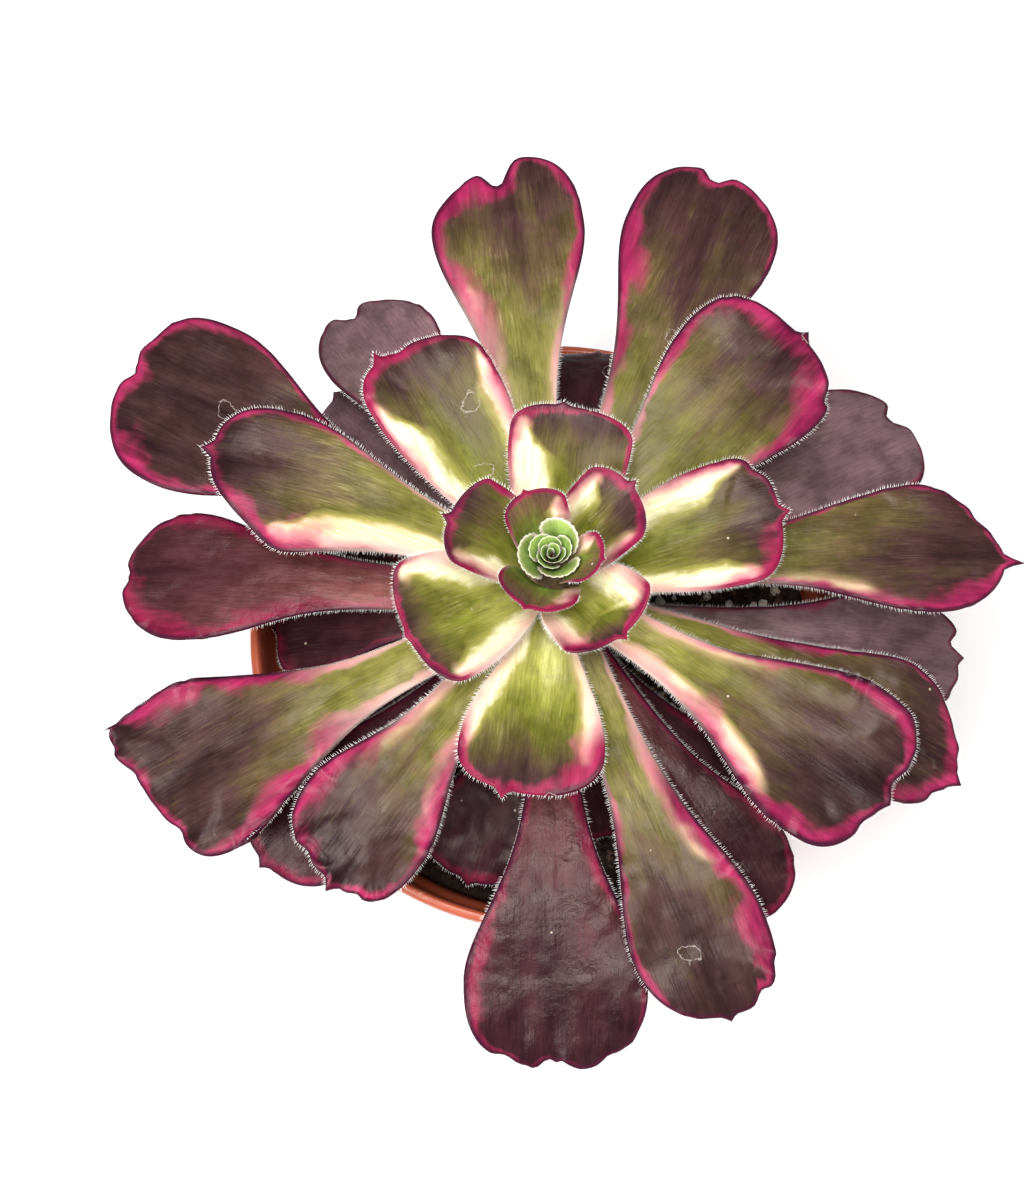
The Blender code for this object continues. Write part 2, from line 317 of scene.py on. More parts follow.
# %% The rosette's numbers
SOIL_TOP = POT_HEIGHT - 17 * MM
ROOT_DEPTH = 28 * MM
GAP = 0.3 * MM
STEM_RADIUS = 6.5 * MM
STEM_TIP_RADIUS = 1.0 * MM
GOLDEN_ANGLE = 137.5
FIRST_AZIMUTH = -845.0
FIRST_LEAF, YOUNGEST_OPEN = 3, 6
CROWN_LEAF = 20
CROWN_TOP = POT_HEIGHT + 36 * MM
CROWN_SPACING = 0.7 * MM
SPACING = 1.0 * MM
WIDEST_AT = 0.80
print("stem from", SOIL_TOP, "to", CROWN_TOP)

# %% The size of each leaf
# number: lean in degrees, reach in mm, tip above the rim in mm, width in mm, arch in degrees, bow in mm
LEAVES = {
    3: (2, 4.4, 43.0, 4.8, 8, 0),
    4: (-8, 4.7, 43.4, 4.8, 8, 0),
    5: (-16, 5.0, 43.0, 5.8, 8, 0),
    6: (2, 7.6, 44.5, 8.2, 16, 0),
    7: (-5, 9.0, 44.0, 9.8, 18, 0),
    8: (-4, 9.6, 42.4, 12.4, 19, 0),
    9: (3, 15.0, 43.8, 13.5, 12, 0),
    10: (-12, 16.3, 41.2, 14.5, 10, 0),
    11: (2, 16.2, 39.8, 16.5, 10, 0),
    12: (-4, 23.2, 41.6, 19.0, 8, 0),
    13: (-13, 24.8, 38.0, 21.2, 7, 0),
    14: (13, 36.2, 35.4, 20.5, 6, 0),
    15: (-14, 42.5, 37.0, 21.0, 4, 0),
    16: (-11, 36.0, 36.0, 22.0, 4, 0),
    17: (-7, 55.8, 33.4, 27.0, 2, 0),
    18: (-26.5, 57.0, 33.0, 24.0, 3, -2),
    19: (-2, 62.0, 28.0, 27.0, 6, 0),
    20: (-8, 73.0, 30.0, 25.5, 5, 0),
    21: (-9, 58.3, 25.0, 22.0, 8, 0),
    22: (-16, 72.5, 24.0, 21.5, 9, 2),
    23: (-4, 79.0, 27.0, 30.0, 10, 0),
    24: (-3, 72.4, 19.0, 21.5, 12, 0),
    25: (-5, 78.5, 25.0, 26.0, 10, 0),
    26: (-2.5, 75.5, 16.0, 28.5, 12, 0),
    27: (-11, 70.5, 15.0, 22.0, 13, 2),
    28: (-2, 65.5, 11.0, 21.0, 15, 0),
    29: (8, 75.0, 12.0, 28.5, 15, 0),
    30: (7, 58.0, 13.5, 22.0, 15, 0),
    31: (-1, 72.1, 13.0, 22.0, 15, 0),
    32: (-12, 62.0, 7.0, 22.0, 16, 0),
    33: (-12, 50.0, 4.0, 20.0, 20, 0),
    34: (-8, 63.5, 6.5, 22.0, 18, 0),
    35: (21, 71.0, 7.0, 24.0, 16, 0),
    36: (-12, 56.3, 4.0, 20.0, 20, 0),
    37: (4, 38.0, -4.0, 18.0, 20, 0),
    38: (-4, 51.0, 2.0, 16.0, 18, 0),
    39: (-18, 49.0, -4.0, 21.0, 20, 0),
    40: (18, 69.6, 5.0, 21.0, 18, 0),
    41: (-9, 46.0, -4.0, 17.0, 20, 0),
    42: (2, 46.0, -6.0, 21.0, 20, 0),
    43: (0, 44.0, -6.0, 16.0, 20, 0),
    44: (0, 42.0, -8.0, 15.0, 20, 0),
    45: (12, 46.0, -7.0, 19.0, 20, 0),
    46: (0, 38.0, -9.0, 14.0, 20, 0),
    47: (-14, 34.8, -10.0, 13.0, 20, 0),
    48: (0, 38.0, -11.0, 14.0, 20, 0),
    49: (0, 34.0, -12.0, 13.0, 20, 0),
    50: (12, 36.0, -12.0, 14.0, 20, 0),
}
print("leaves:", len(LEAVES))


# %% Heights and thickness by number
def leaf_height(number):
    """Leaves are evenly spaced down the stem, closer together above the crown leaf."""
    crowded = min(number, CROWN_LEAF) - FIRST_LEAF
    return CROWN_TOP - crowded * CROWN_SPACING - max(number - CROWN_LEAF, 0) * SPACING


def stem_radius(height):
    """The stem tapers in a straight line over the crowded leaves and is even below them."""
    share = np.clip((CROWN_TOP - height) / (CROWN_TOP - leaf_height(CROWN_LEAF)), 0, 1)
    return STEM_TIP_RADIUS + (STEM_RADIUS - STEM_TIP_RADIUS) * share


def flesh(number):
    """A leaf's thickness grows with its age up to 1.7 mm."""
    return min(1.7, 0.5 + 0.07 * number) * MM


print("lowest leaf at", round(leaf_height(max(LEAVES)), 4))

# %% [markdown]
# ## The end of a leaf
# No two leaf ends are alike: some are round, some square like a spatula, some heart-shaped with a notch,
# and most have a tiny point. A leaf end is written as its distance along the leaf at each place across it.
# It starts as a rounded cap, leans to one side, loses a smooth notch and gains a small point.

# %% Leaf ends
# number: squareness, lean of the cap, notches as (place across, depth in mm, width), point as (place, mm)
ENDS = {
    6: (1.9, 0.0, (), (0.0, 0.7)),
    7: (2.0, 0.1, (), (0.1, 0.6)),
    8: (2.0, 0.0, (), (-0.1, 0.8)),
    9: (1.9, 0.1, (), (0.15, 1.2)),
    10: (1.9, 0.1, (), (0.1, 1.3)),
    11: (2.0, 0.0, (), (0.0, 1.3)),
    12: (2.4, 0.1, (), (0.2, 0.6)),
    13: (2.2, 0.1, (), (0.0, 0.5)),
    14: (2.2, 0.1, ((0.75, 0.9, 0.12),), (0.0, 1.6)),
    15: (2.4, 0.2, ((0.1, 0.5, 0.12),), (0.45, 1.6)),
    16: (2.3, 0.0, (), (-0.3, 1.5)),
    17: (2.3, 0.1, ((-0.86, 1.4, 0.06),), (-0.1, 1.4)),
    18: (2.6, -0.25, ((0.95, 8.0, 0.60),), (-0.35, 1.8)),
    19: (3.0, 0.1, ((0.2, 0.8, 0.15), (-0.4, 0.7, 0.12)), (-0.05, 0.8)),
    20: (2.2, -0.28, ((0.06, 5.0, 0.16),), (0.06, 0.6)),
    21: (2.8, 0.1, ((-0.4, 0.8, 0.14), (0.5, 0.7, 0.1)), (0.12, 1.6)),
    22: (1.8, -0.1, ((0.5, 0.5, 0.1),), (-0.1, 3.2)),
    23: (2.4, -0.1, ((-0.1, 2.2, 0.14), (-0.55, 0.7, 0.12)), (-0.1, 0.9)),
    24: (2.4, 0.15, ((0.55, 1.3, 0.12), (0.85, 0.8, 0.08)), (0.0, 1.0)),
    25: (2.4, 0.1, ((0.12, 3.0, 0.13),), (0.12, 0.8)),
    26: (6.5, 0.05, ((1.2, 7.0, 1.20), (0.5, 0.9, 0.12), (-0.3, 0.8, 0.15)), (-0.95, 2.4)),
    27: (2.0, -0.1, ((-0.5, 0.9, 0.1),), (-0.2, 1.6)),
    28: (2.2, 0.1, ((0.1, 3.5, 0.16),), (0.1, 0.6)),
    29: (2.6, 0.0, ((0.0, 2.6, 0.13), (-0.55, 0.9, 0.12), (0.6, 0.8, 0.1)), (0.02, 1.6)),
    31: (2.3, 0.0, ((0.0, 1.8, 0.14),), (0.0, 0.8)),
    35: (2.2, -0.1, ((0.2, 3.4, 0.14),), (0.2, 0.8)),
    40: (2.2, 0.0, ((0.3, 2.0, 0.14),), (0.1, 1.4)),
}
PLAIN_END = (2.2, 0.0, (), (0.0, 1.2))


def leaf_end(number, across, length):
    """How far the leaf goes at each place across it, as a share of its length.

    A superellipse cap on top of the widest row, tilted to one side, less a bell-shaped notch or two,
    plus a tent-shaped point at the nearest column.
    """
    squareness, lean, notches, (tip_at, tip_length) = ENDS.get(number, PLAIN_END)
    cap = (1 - np.abs(across) ** squareness) ** (1 / squareness)
    end = WIDEST_AT + (1 - WIDEST_AT) * cap * (1 + lean * across)
    for place, depth, width in notches:
        end = end - depth * MM / length * np.exp(-(((across - place) / width) ** 2))
    column = np.argmin(np.abs(across - tip_at))
    tent = np.clip(1 - np.abs(np.arange(across.size) - column) / 1.6, 0, 1).reshape(across.shape)
    return end + tip_length * MM / length * tent


print("shaped leaf ends:", len(ENDS))

# %% [markdown]
# ## One leaf
# A leaf is a fleshy blade: a narrow neck that swells to a broad end, arched along its length and cupped
# across. Its upper face is a function of two numbers, one along the leaf and one across it. The lower face
# hangs a thickness below and shares the margin's points, so the blade is closed and comes to a thin
# rounded edge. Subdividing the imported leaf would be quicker, but it would lose the notches and the thin edge.
# The distance of each point from the margin is kept as a field, because the colours follow the margin.

# %% Width and margin of a blade
ROWS, COLUMNS = 76, 49
# number: size in mm of the long waves and of the fine crinkles along the margin
RUFFLES = {
    15: (0.4, 0.25), 17: (0.4, 0.20), 19: (0.7, 0.45), 21: (0.6, 0.45), 22: (0.5, 0.30), 24: (0.7, 0.45),
    26: (0.8, 0.50), 27: (0.7, 0.40), 29: (0.7, 0.50), 31: (0.6, 0.25), 32: (0.7, 0.40), 40: (0.8, 0.45),
}
# number: height in mm of the wrinkles on a leaf that has begun to dry
WRINKLES = {21: 0.04, 24: 0.04, 29: 0.05, 31: 0.05, 33: 0.04, 42: 0.05}
# leaves up to this number are smooth and barely ruffled
SMOOTH_LEAF = 13


def half_width(number, along, widest):
    """Half of the blade's width: a neck that swells to the widest row as a power of a sine.

    The outer leaves swell late, from a narrow neck. The inner ones are broad from near their foot.
    """
    neck = min(np.interp(number, (9, 17), (5.5, 3.6)) * MM, 0.60 * widest)
    late = np.interp(number, (8, 14, 16, 20, 30), (0.8, 1.1, 1.4, 2.6, 3.0))
    power = np.interp(number, (12, 16, 20), (0.9, 1.1, 1.4))
    return neck + (widest - neck) * np.sin(np.clip(along, 0, 1) ** late * pi / 2) ** power


def nearest_margin(flat):
    """Distance from each point of a flat leaf to its outline, and how far round the outline that is.

    The outline goes up one side of the grid, across its end and down the other side. Each point is
    dropped square onto every stretch of it, and the shortest drop counts.
    """
    outline = np.concatenate([flat[:, 0], flat[-1, 1:], flat[-2::-1, -1]])
    start, step = outline[:-1], np.diff(outline, axis=0)
    size = np.hypot(step[:, 0], step[:, 1])
    offset = flat.reshape(-1, 1, 2) - start[None]
    share = np.clip((offset * step).sum(-1) / (size**2 + 1e-15), 0, 1)
    gap = np.linalg.norm(offset - share[..., None] * step, axis=-1)
    nearest = gap.argmin(axis=1)
    rows = np.arange(len(gap))
    travelled = np.concatenate([[0], np.cumsum(size)])[nearest] + share[rows, nearest] * size[nearest]
    return gap[rows, nearest].reshape(flat.shape[:2]), travelled.reshape(flat.shape[:2])


print("ruffled leaves:", len(RUFFLES), "wrinkled:", len(WRINKLES))


# %% The upper face
def blade(number, sizes, foot_height, foot_radius, rows=ROWS, columns=COLUMNS):
    """The leaf's upper face and what is known at each of its points.

    The midrib is an arc of a circle in an upright plane. Across it the points spread by the sine of an
    angle, and the face is cupped by the square of the distance from the midrib. Long waves and fine
    crinkles run along the margin and die away inwards, and shallow puckers cover the rest. A bow moves
    the midrib to one side by a parabola.
    """
    lean, reach_mm, tip_height, width, arch, bow = sizes
    azimuth = radians(FIRST_AZIMUTH + GOLDEN_ANGLE * number + lean)
    run, climb = reach_mm * MM - foot_radius, POT_HEIGHT + tip_height * MM - foot_height
    chord, slope, bend = np.hypot(run, climb), np.arctan2(climb, run), radians(arch)

    share = (1 - (1 - np.linspace(0, 1, rows)) ** 1.5)[:, None]
    across = np.sin(np.linspace(-pi / 2, pi / 2, columns))[None, :]
    along = share * leaf_end(number, across, chord)
    half = half_width(number, along / WIDEST_AT, width / 2 * MM)
    side = half * across
    flat = np.stack([along * chord, side], axis=-1)
    margin, travelled = nearest_margin(flat)

    turn = bend * (1 - 2 * along)
    ahead = chord * (sin(bend) - np.sin(turn)) / (2 * sin(bend))
    above = chord * (np.cos(turn) - cos(bend)) / (2 * sin(bend))
    radial = foot_radius + ahead * cos(slope) - above * sin(slope)
    height = foot_height + ahead * sin(slope) + above * cos(slope)
    pitch = slope + turn
    cup = np.clip(half / (2 * np.maximum(radial, 2.5 * MM)), 0, 0.42)
    cup = cup * np.clip(1.25 - number / 40, 0.35, 1)

    long_wave, crinkle = RUFFLES.get(number, (0.40, 0.12) if number > SMOOTH_LEAF else (0.1, 0.05))
    open_end = np.clip(along / 0.5 - 0.6, 0, 1)
    waves = long_wave * np.exp(-margin / (5.5 * MM)) * np.sin(travelled / (3.1 * MM) + 1.3 * number)
    uneven = np.clip(0.6 + 0.8 * waviness(flat, 12 * MM, 300 + number), 0, 1.6)
    phase = 2 * waviness(flat, 9 * MM, 100 + number)
    waves += crinkle * uneven * np.exp(-margin / (1.8 * MM)) * np.sin(travelled / (0.75 * MM) + phase)
    puckers = 0.06 * waviness(flat * (1.0, 1.6), 9 * MM, 200 + number)
    puckers = puckers + WRINKLES.get(number, 0) * waviness(flat * (1.0, 0.7), 2.8 * MM, 400 + number, 30)
    puckers = puckers * np.clip(margin / (2 * MM), 0, 1) * (number > SMOOTH_LEAF)
    lift = cup * half * across**2 + (waves * open_end + puckers) * MM
    side = side + bow * MM * 4 * along * (1 - along)
    radial, height = radial - lift * np.sin(pitch), height + lift * np.cos(pitch)
    east, north = cos(azimuth), sin(azimuth)
    points = np.stack([radial * east - side * north, radial * north + side * east, height], axis=-1)
    up = np.stack([-np.sin(pitch) * east, -np.sin(pitch) * north, np.cos(pitch)], axis=-1)
    return {"points": points, "up": up, "along": along, "across": across + 0 * along,
            "margin": margin, "flat": flat}


print("blade points:", ROWS * COLUMNS)


# %% The closed blade
def blade_mesh(name, face, thickness):
    """The closed blade: upper and lower faces that share the points of the margin and of the foot.

    The thickness swells from 0.38 of the whole at the margin to all of it 4 mm in, times a quarter
    circle over the last 0.3 mm for the rounded edge.
    """
    rows, columns = face["margin"].shape
    inward = np.clip(face["margin"] / (4 * MM), 0, 1)
    edge = np.clip(face["margin"] / (0.3 * MM), 0, 1)
    body = (0.38 + 0.62 * inward * (2 - inward)) * np.sqrt(1 - (1 - edge) ** 2)
    body[0] = 0
    middle = face["points"] - 0.5 * thickness * face["up"]
    upper = middle + 0.5 * thickness * body[..., None] * face["up"]
    lower = middle - 0.5 * thickness * body[..., None] * face["up"]
    top = np.arange(rows * columns).reshape(rows, columns)
    under = top.copy()
    inner = (slice(1, -1), slice(1, -1))
    under[inner] = rows * columns + np.arange((rows - 2) * (columns - 2)).reshape(rows - 2, columns - 2)
    points = np.concatenate([upper.reshape(-1, 3), lower[inner].reshape(-1, 3)])
    pairs = zip(sheet_faces(top), sheet_faces(under))
    faces = [np.concatenate([over, below[:, ::-1]]) for over, below in pairs]
    mesh = new_mesh(name, points, faces)

    def both(field, below=None):
        """The field's values on the upper face, then on the inner points of the lower face."""
        below = field if below is None else below
        return np.concatenate([field.reshape(-1), below[inner].reshape(-1)])

    corner = np.concatenate([block.reshape(-1) for block in faces])
    flat = np.stack([both(face["flat"][..., 0]), both(face["flat"][..., 1])], axis=-1)
    uv = mesh.uv_layers.new(name="Blade")
    uv.data.foreach_set("uv", flat[corner].astype(np.float32).reshape(-1))
    add_field(mesh, "margin", both(face["margin"] / MM))
    add_field(mesh, "under", both(np.zeros_like(face["margin"]), np.ones_like(face["margin"])))
    return mesh, both


print("inner points of the lower face:", (ROWS - 2) * (COLUMNS - 2))

# %% [markdown]
# ## The fringe of hairs
# The margin carries a row of short white hairs, up to 0.8 mm long on a grown leaf and shorter near the
# heart. A particle system would grow them, but it can't be kept in a mesh with so few faces. Here each hair
# is a three-sided spike: its foot stands on the margin, it points away from the blade and leans towards the
# leaf's end.

# %% Hairs along a margin
HAIR_SPACING = 0.34 * MM
HAIR_THICKNESS = 0.060 * MM
HAIR_LENGTH, YOUNG_HAIR, HEART_HAIR, BUD_HAIR = 0.70 * MM, 0.45 * MM, 0.30 * MM, 0.24 * MM
SPIKE = np.array([(0, 1, 3), (1, 2, 3), (2, 0, 3), (2, 1, 0)])


def margin_hairs(face, thickness, seed, length, bare=0.02):
    """Points and faces of the hairs, evenly spaced by arc length round the margin, all in one array.

    A share of the way round, called bare, is left without hairs at either side of the foot.
    """
    draw = np.random.default_rng(seed)
    points = face["points"] - 0.5 * thickness * face["up"]
    path = np.concatenate([points[1:, 0], points[-1, 1:], points[-2:0:-1, -1]])
    inside = np.concatenate([points[1:, 1], points[-2, 1:], points[-2:0:-1, -2]])
    up = np.concatenate([face["up"][1:, 0], face["up"][-1, 1:], face["up"][-2:0:-1, -1]])
    travelled = np.concatenate([[0], np.cumsum(np.linalg.norm(np.diff(path, axis=0), axis=1))])
    places = np.arange(bare * travelled[-1], (1 - bare) * travelled[-1], HAIR_SPACING)
    places += draw.uniform(-0.3, 0.3, len(places)) * HAIR_SPACING

    def at(values):
        """The values read off at the hairs' places along the path."""
        return np.stack([np.interp(places, travelled, values[:, axis]) for axis in range(3)], axis=-1)

    foot, normal = at(path), at(up)
    forward = at(np.gradient(path, axis=0))
    forward /= np.linalg.norm(forward, axis=1, keepdims=True)
    outward = np.cross(forward, normal)
    outward *= np.sign(((foot - at(inside)) * outward).sum(-1, keepdims=True))
    outward /= np.linalg.norm(outward, axis=1, keepdims=True)
    to_tip = np.where(places < travelled[-1] / 2, 1.0, -1.0)[:, None]
    count = len(places)
    aim = outward + forward * to_tip * draw.uniform(0.1, 0.6, (count, 1))
    aim = aim + normal * draw.uniform(-0.25, 0.35, (count, 1))
    aim *= (length * draw.uniform(0.6, 1.15, count) / np.linalg.norm(aim, axis=1))[:, None]
    thick = HAIR_THICKNESS * min(1.0, length / (0.5 * MM))
    root = foot - 0.08 * MM * outward
    corners = [root + thick * (cos(a) * forward + sin(a) * normal) for a in (0, 2 * pi / 3, 4 * pi / 3)]
    spikes = np.stack([*corners, foot + aim], axis=1)
    one, two, three = (spikes[:, corner] - spikes[:, 0] for corner in (1, 2, 3))
    inside_out = np.einsum("ij,ij->i", np.cross(one, two), three) < 0
    faces = 4 * np.arange(count)[:, None, None] + SPIKE[None]
    faces = np.where(inside_out[:, None, None], faces[..., ::-1], faces)
    return spikes.reshape(-1, 3), faces.reshape(-1, 3)


print("hair spacing in mm:", HAIR_SPACING / MM)

# %% [markdown]
# ## What colours a leaf
# The blade is green at its foot and brown-purple at its end, with a magenta margin. Leaves near the heart
# have a cream band inside the margin, where the green is missing. The bands are wider on one side than on
# the other, so each leaf has its own widths, given at its neck, side and shoulder on both sides, and at
# its end. Painting them would need an image. A few widths and the distance from the margin do the same.

# %% Bands of each leaf
STATIONS = (0.05, 0.40, 0.64, 0.86, 1.0)
# number: widths in tenths of a mm of the margin colour, then of the cream band inside it: clockwise neck,
# low side, middle and shoulder, the end, then anticlockwise shoulder, middle, low side and neck
NO_BAND = (0,) * 9
BANDS = {
    6: ((3, 3, 4, 5, 6, 9, 9, 7, 4), (0, 1, 1, 0, 0, 8, 12, 10, 5)),
    7: ((4, 8, 10, 9, 7, 4, 3, 3, 3), (6, 12, 14, 9, 3, 1, 2, 1, 0)),
    8: ((2, 2, 3, 5, 6, 10, 10, 6, 4), (0, 3, 2, 1, 2, 9, 15, 14, 7)),
    9: ((4, 7, 9, 9, 8, 9, 7, 4, 3), (6, 12, 9, 3, 1, 14, 22, 18, 8)),
    10: ((4, 7, 9, 9, 7, 8, 9, 8, 4), (3, 4, 2, 1, 0, 6, 16, 24, 13)),
    11: ((4, 7, 10, 11, 8, 9, 8, 5, 3), (8, 20, 19, 10, 2, 18, 32, 32, 16)),
    12: ((3, 6, 8, 8, 7, 10, 9, 6, 4), (2, 2, 1, 0, 0, 23, 46, 46, 30)),
    13: ((4, 8, 9, 9, 9, 13, 11, 7, 4), (22, 36, 26, 10, 0, 8, 24, 28, 16)),
    14: ((2, 4, 9, 20, 8, 12, 8, 4, 2), (15, 22, 22, 12, 1, 20, 34, 33, 19)),
    15: ((3, 6, 10, 12, 10, 10, 8, 6, 3), (9, 15, 18, 12, 3, 24, 32, 26, 13)),
    16: ((2, 3, 5, 9, 9, 26, 13, 4, 2), (15, 22, 18, 2, 0, 18, 12, 6, 6)),
    17: ((5, 14, 20, 30, 18, 20, 12, 7, 4), (2, 6, 2, 0, 0, 2, 2, 2, 2)),
    18: ((3, 4, 5, 9, 9, 32, 20, 7, 3), (0, 0, 0, 1, 1, 18, 34, 38, 22)),
    19: ((5, 16, 30, 36, 15, 16, 16, 9, 4), (5, 10, 7, 3, 0, 0, 2, 5, 4)),
    20: ((3, 6, 12, 13, 9, 36, 24, 11, 4), (2, 4, 3, 0, 0, 4, 6, 4, 2)),
    21: ((4, 10, 24, 20, 5, 18, 22, 10, 4), (2, 6, 3, 0, 0, 2, 5, 4, 2)),
    22: ((4, 7, 16, 28, 7, 6, 6, 5, 3), (1, 3, 5, 1, 0, 0, 0, 0, 1)),
    23: ((4, 6, 8, 12, 13, 32, 20, 10, 5), (0, 0, 0, 0, 0, 1, 2, 1, 1)),
    24: ((4, 7, 9, 8, 2, 30, 28, 14, 4), (1, 2, 1, 0, 0, 2, 5, 3, 2)),
    25: ((3, 4, 5, 7, 9, 30, 26, 14, 5), (1, 1, 0, 0, 0, 0, 1, 1, 1)),
    26: ((4, 12, 20, 24, 1, 9, 30, 22, 6), (1, 3, 2, 0, 0, 0, 0, 1, 1)),
    27: ((5, 9, 12, 15, 13, 12, 9, 6, 4), (1, 2, 1, 0, 0, 0, 0, 1, 1)),
    29: ((8, 14, 18, 28, 2, 5, 11, 16, 9), NO_BAND),
    31: ((8, 10, 12, 18, 12, 26, 18, 12, 8), NO_BAND),
}
BANDS[28] = BANDS[36] = ((3, 3, 4, 5, 5, 5, 4, 3, 3), NO_BAND)
BANDS[35] = ((3, 5, 9, 10, 5, 4, 4, 3, 3), NO_BAND)
PLAIN_BANDS = ((6, 8, 10, 14, 11, 14, 10, 8, 6), NO_BAND)
BUD_BANDS = ((0.4,) * 9, (2.4,) * 9)
CUP_BANDS = ((0.6,) * 9, (3.4,) * 9)
print("banded leaves:", len(BANDS))

# %% Ground of each leaf
# number: how far the ground colour has gone from pale green (0) to dark purple (100), from foot to end
GROUND_STATIONS = (0.05, 0.4, 0.75, 1.0)
GROUNDS = {
    6: (10, 28, 55, 70), 7: (20, 34, 62, 76), 8: (10, 28, 60, 76), 9: (20, 46, 74, 86),
    10: (30, 46, 66, 86), 11: (20, 32, 50, 86), 12: (26, 44, 66, 92), 13: (18, 34, 50, 88),
    14: (24, 44, 68, 92), 15: (24, 46, 64, 92), 16: (10, 22, 60, 94), 17: (20, 42, 70, 94),
    18: (18, 44, 68, 92), 19: (24, 50, 78, 94), 20: (16, 37, 64, 88), 21: (18, 42, 76, 100),
    22: (34, 50, 72, 90), 23: (34, 62, 84, 94), 24: (20, 48, 76, 92), 25: (26, 50, 74, 92),
    26: (16, 40, 78, 94), 27: (28, 54, 76, 88), 28: (30, 50, 62, 76), 29: (34, 68, 90, 100),
    30: (40, 64, 80, 90), 31: (30, 52, 74, 94), 32: (52, 80, 92, 96), 35: (30, 52, 66, 80),
    36: (50, 62, 74, 86), 40: (40, 60, 78, 92),
}
OLD_GROUND = (70, 86, 94, 98)
print("grounds:", len(GROUNDS))


# %% Widths over a blade
def band_width(widths, along, across):
    """A band's width in mm at each point: straight lines between stations, blended from side to side."""
    widths = np.array(widths) / 10
    clockwise = np.interp(along, STATIONS, widths[:5])
    other = np.interp(along, STATIONS, widths[:3:-1])
    lean = np.clip(0.5 + 0.9 * across, 0, 1)
    lean = lean * lean * (3 - 2 * lean)
    return clockwise * (1 - lean) + other * lean


def tip_fade(face):
    """From 0 towards the leaf's end to 1 at its sides, by the angle seen from the blade's middle."""
    flat = face["flat"]
    ahead = flat[..., 0] - 0.60 * flat[..., 0].max()
    angle = np.arctan2(np.abs(flat[..., 1]), ahead)
    share = np.clip((angle - 0.65) / 0.75, 0, 1)
    return share * share * (3 - 2 * share)


print("stations along a leaf:", len(STATIONS))

# %% [markdown]
# ## The leaf finish
# The finish lays its colours from the inside out: the ground, the cream band, the magenta margin and a thin
# rim, which is pale near the foot and dark towards the leaf's end. Each boundary is shifted by noise
# stretched along the blade, so it frays into streaks as the real pigment does. The waxy skin has a weak warm
# sheen, broken up by low bumps, veins and creases. Pale streaks of painted sheen are also mixed into the
# ground colour as painted highlights. Young, middle and old leaves share one recipe with other colours. The
# underside is duller: most of its colour is one plain green or brown.

# %% Colours of the leaves
FRESH = [(0.0, (0.62, 0.70, 0.27)), (0.2, (0.25, 0.38, 0.06)), (0.42, (0.17, 0.18, 0.035)),
         (0.62, (0.12, 0.075, 0.032)), (0.82, (0.065, 0.030, 0.026)), (1.0, (0.030, 0.010, 0.014))]
LEAFY = [(0.0, (0.80, 0.76, 0.34)), (0.2, (0.35, 0.34, 0.080)), (0.38, (0.150, 0.160, 0.020)),
         (0.5, (0.128, 0.124, 0.021)), (0.62, (0.100, 0.074, 0.025)), (0.8, (0.048, 0.022, 0.020)),
         (1.0, (0.014, 0.0045, 0.007))]
BRONZE = [(0.0, (0.78, 0.68, 0.38)), (0.2, (0.37, 0.31, 0.120)), (0.38, (0.176, 0.166, 0.030)),
          (0.5, (0.136, 0.122, 0.026)), (0.64, (0.094, 0.062, 0.025)), (0.8, (0.048, 0.020, 0.019)),
          (1.0, (0.014, 0.004, 0.007))]
MAROON = [(0.0, (0.44, 0.22, 0.13)), (0.2, (0.30, 0.115, 0.075)), (0.4, (0.20, 0.062, 0.050)),
          (0.6, (0.115, 0.036, 0.036)), (0.8, (0.058, 0.017, 0.022)), (1.0, (0.024, 0.006, 0.010))]
DUSTY = [(0.0, (0.34, 0.22, 0.18)), (0.4, (0.19, 0.115, 0.115)), (0.7, (0.145, 0.082, 0.094)),
         (1.0, (0.085, 0.045, 0.055))]
BUD_GREEN = [(0.0, (0.66, 0.74, 0.34)), (0.25, (0.30, 0.44, 0.10)), (0.6, (0.12, 0.21, 0.035)),
             (1.0, (0.04, 0.07, 0.015))]
CREAM, SALMON, CORAL, BLUSH = (0.96, 0.90, 0.60), (0.90, 0.70, 0.45), (0.80, 0.25, 0.29), (0.95, 0.50, 0.44)
PALE_MARGIN, PINK_RIM = (0.92, 0.60, 0.48), (0.94, 0.72, 0.62)
DARK_RIM, CRIMSON_RIM = (0.045, 0.006, 0.02), (0.21, 0.008, 0.042)
# painted sheen: the colours of the pale highlight streaks that are painted into the ground colour
PALE_SHEEN, MAUVE_SHEEN = (0.42, 0.34, 0.16), (0.24, 0.15, 0.16)
OLIVE_HALO, GREEN_BACK, BROWN_BACK = (0.40, 0.36, 0.085), (0.20, 0.25, 0.07), (0.17, 0.085, 0.06)
WATER_MARK, SPECK = (0.60, 0.52, 0.46), (0.62, 0.52, 0.40)
print("ground colours:", len((FRESH, LEAFY, BRONZE, MAROON, DUSTY, BUD_GREEN)))

# %% Patterns that the colours of a leaf share
class LeafFinish(Finish):
    """A finish with the fields that a blade keeps, and the noises that shift and fray its colours."""

    def __init__(self, name):
        """The waxy skin is barely glossy, with a warm tint."""
        super().__init__(name, Specular_IOR_Level=0.16, Specular_Tint=(1.0, 0.82, 0.77, 1))
        self.margin, self.age, self.under = self.field("margin"), self.field("dark"), self.field("under")
        self.pink_width, self.cream_width = self.field("pink_width"), self.field("cream_width")
        self.has_cream = self.remap(self.cream_width, 0.2, 0.9)
        self.streak = self.noise(self.lengthwise((110, 560)), 1.0, 5.0, 0.62, 0.4)
        self.veins = self.noise(self.lengthwise((190, 2200)), 1.0, 3.0, 0.6, 0.3)
        self.drift = self.noise(self.lengthwise((30, 170)), 1.0, 3.0, 0.55)
        self.strands = self.noise(self.lengthwise((300, 3400)), 1.0, 4.0, 0.7, 0.2)
        self.blotch = self.noise(self.place(), 210, 4.0, 0.6)
        self.patches = self.noise(self.place(), 95, 3.0, 0.5)


print("shared patterns ready")


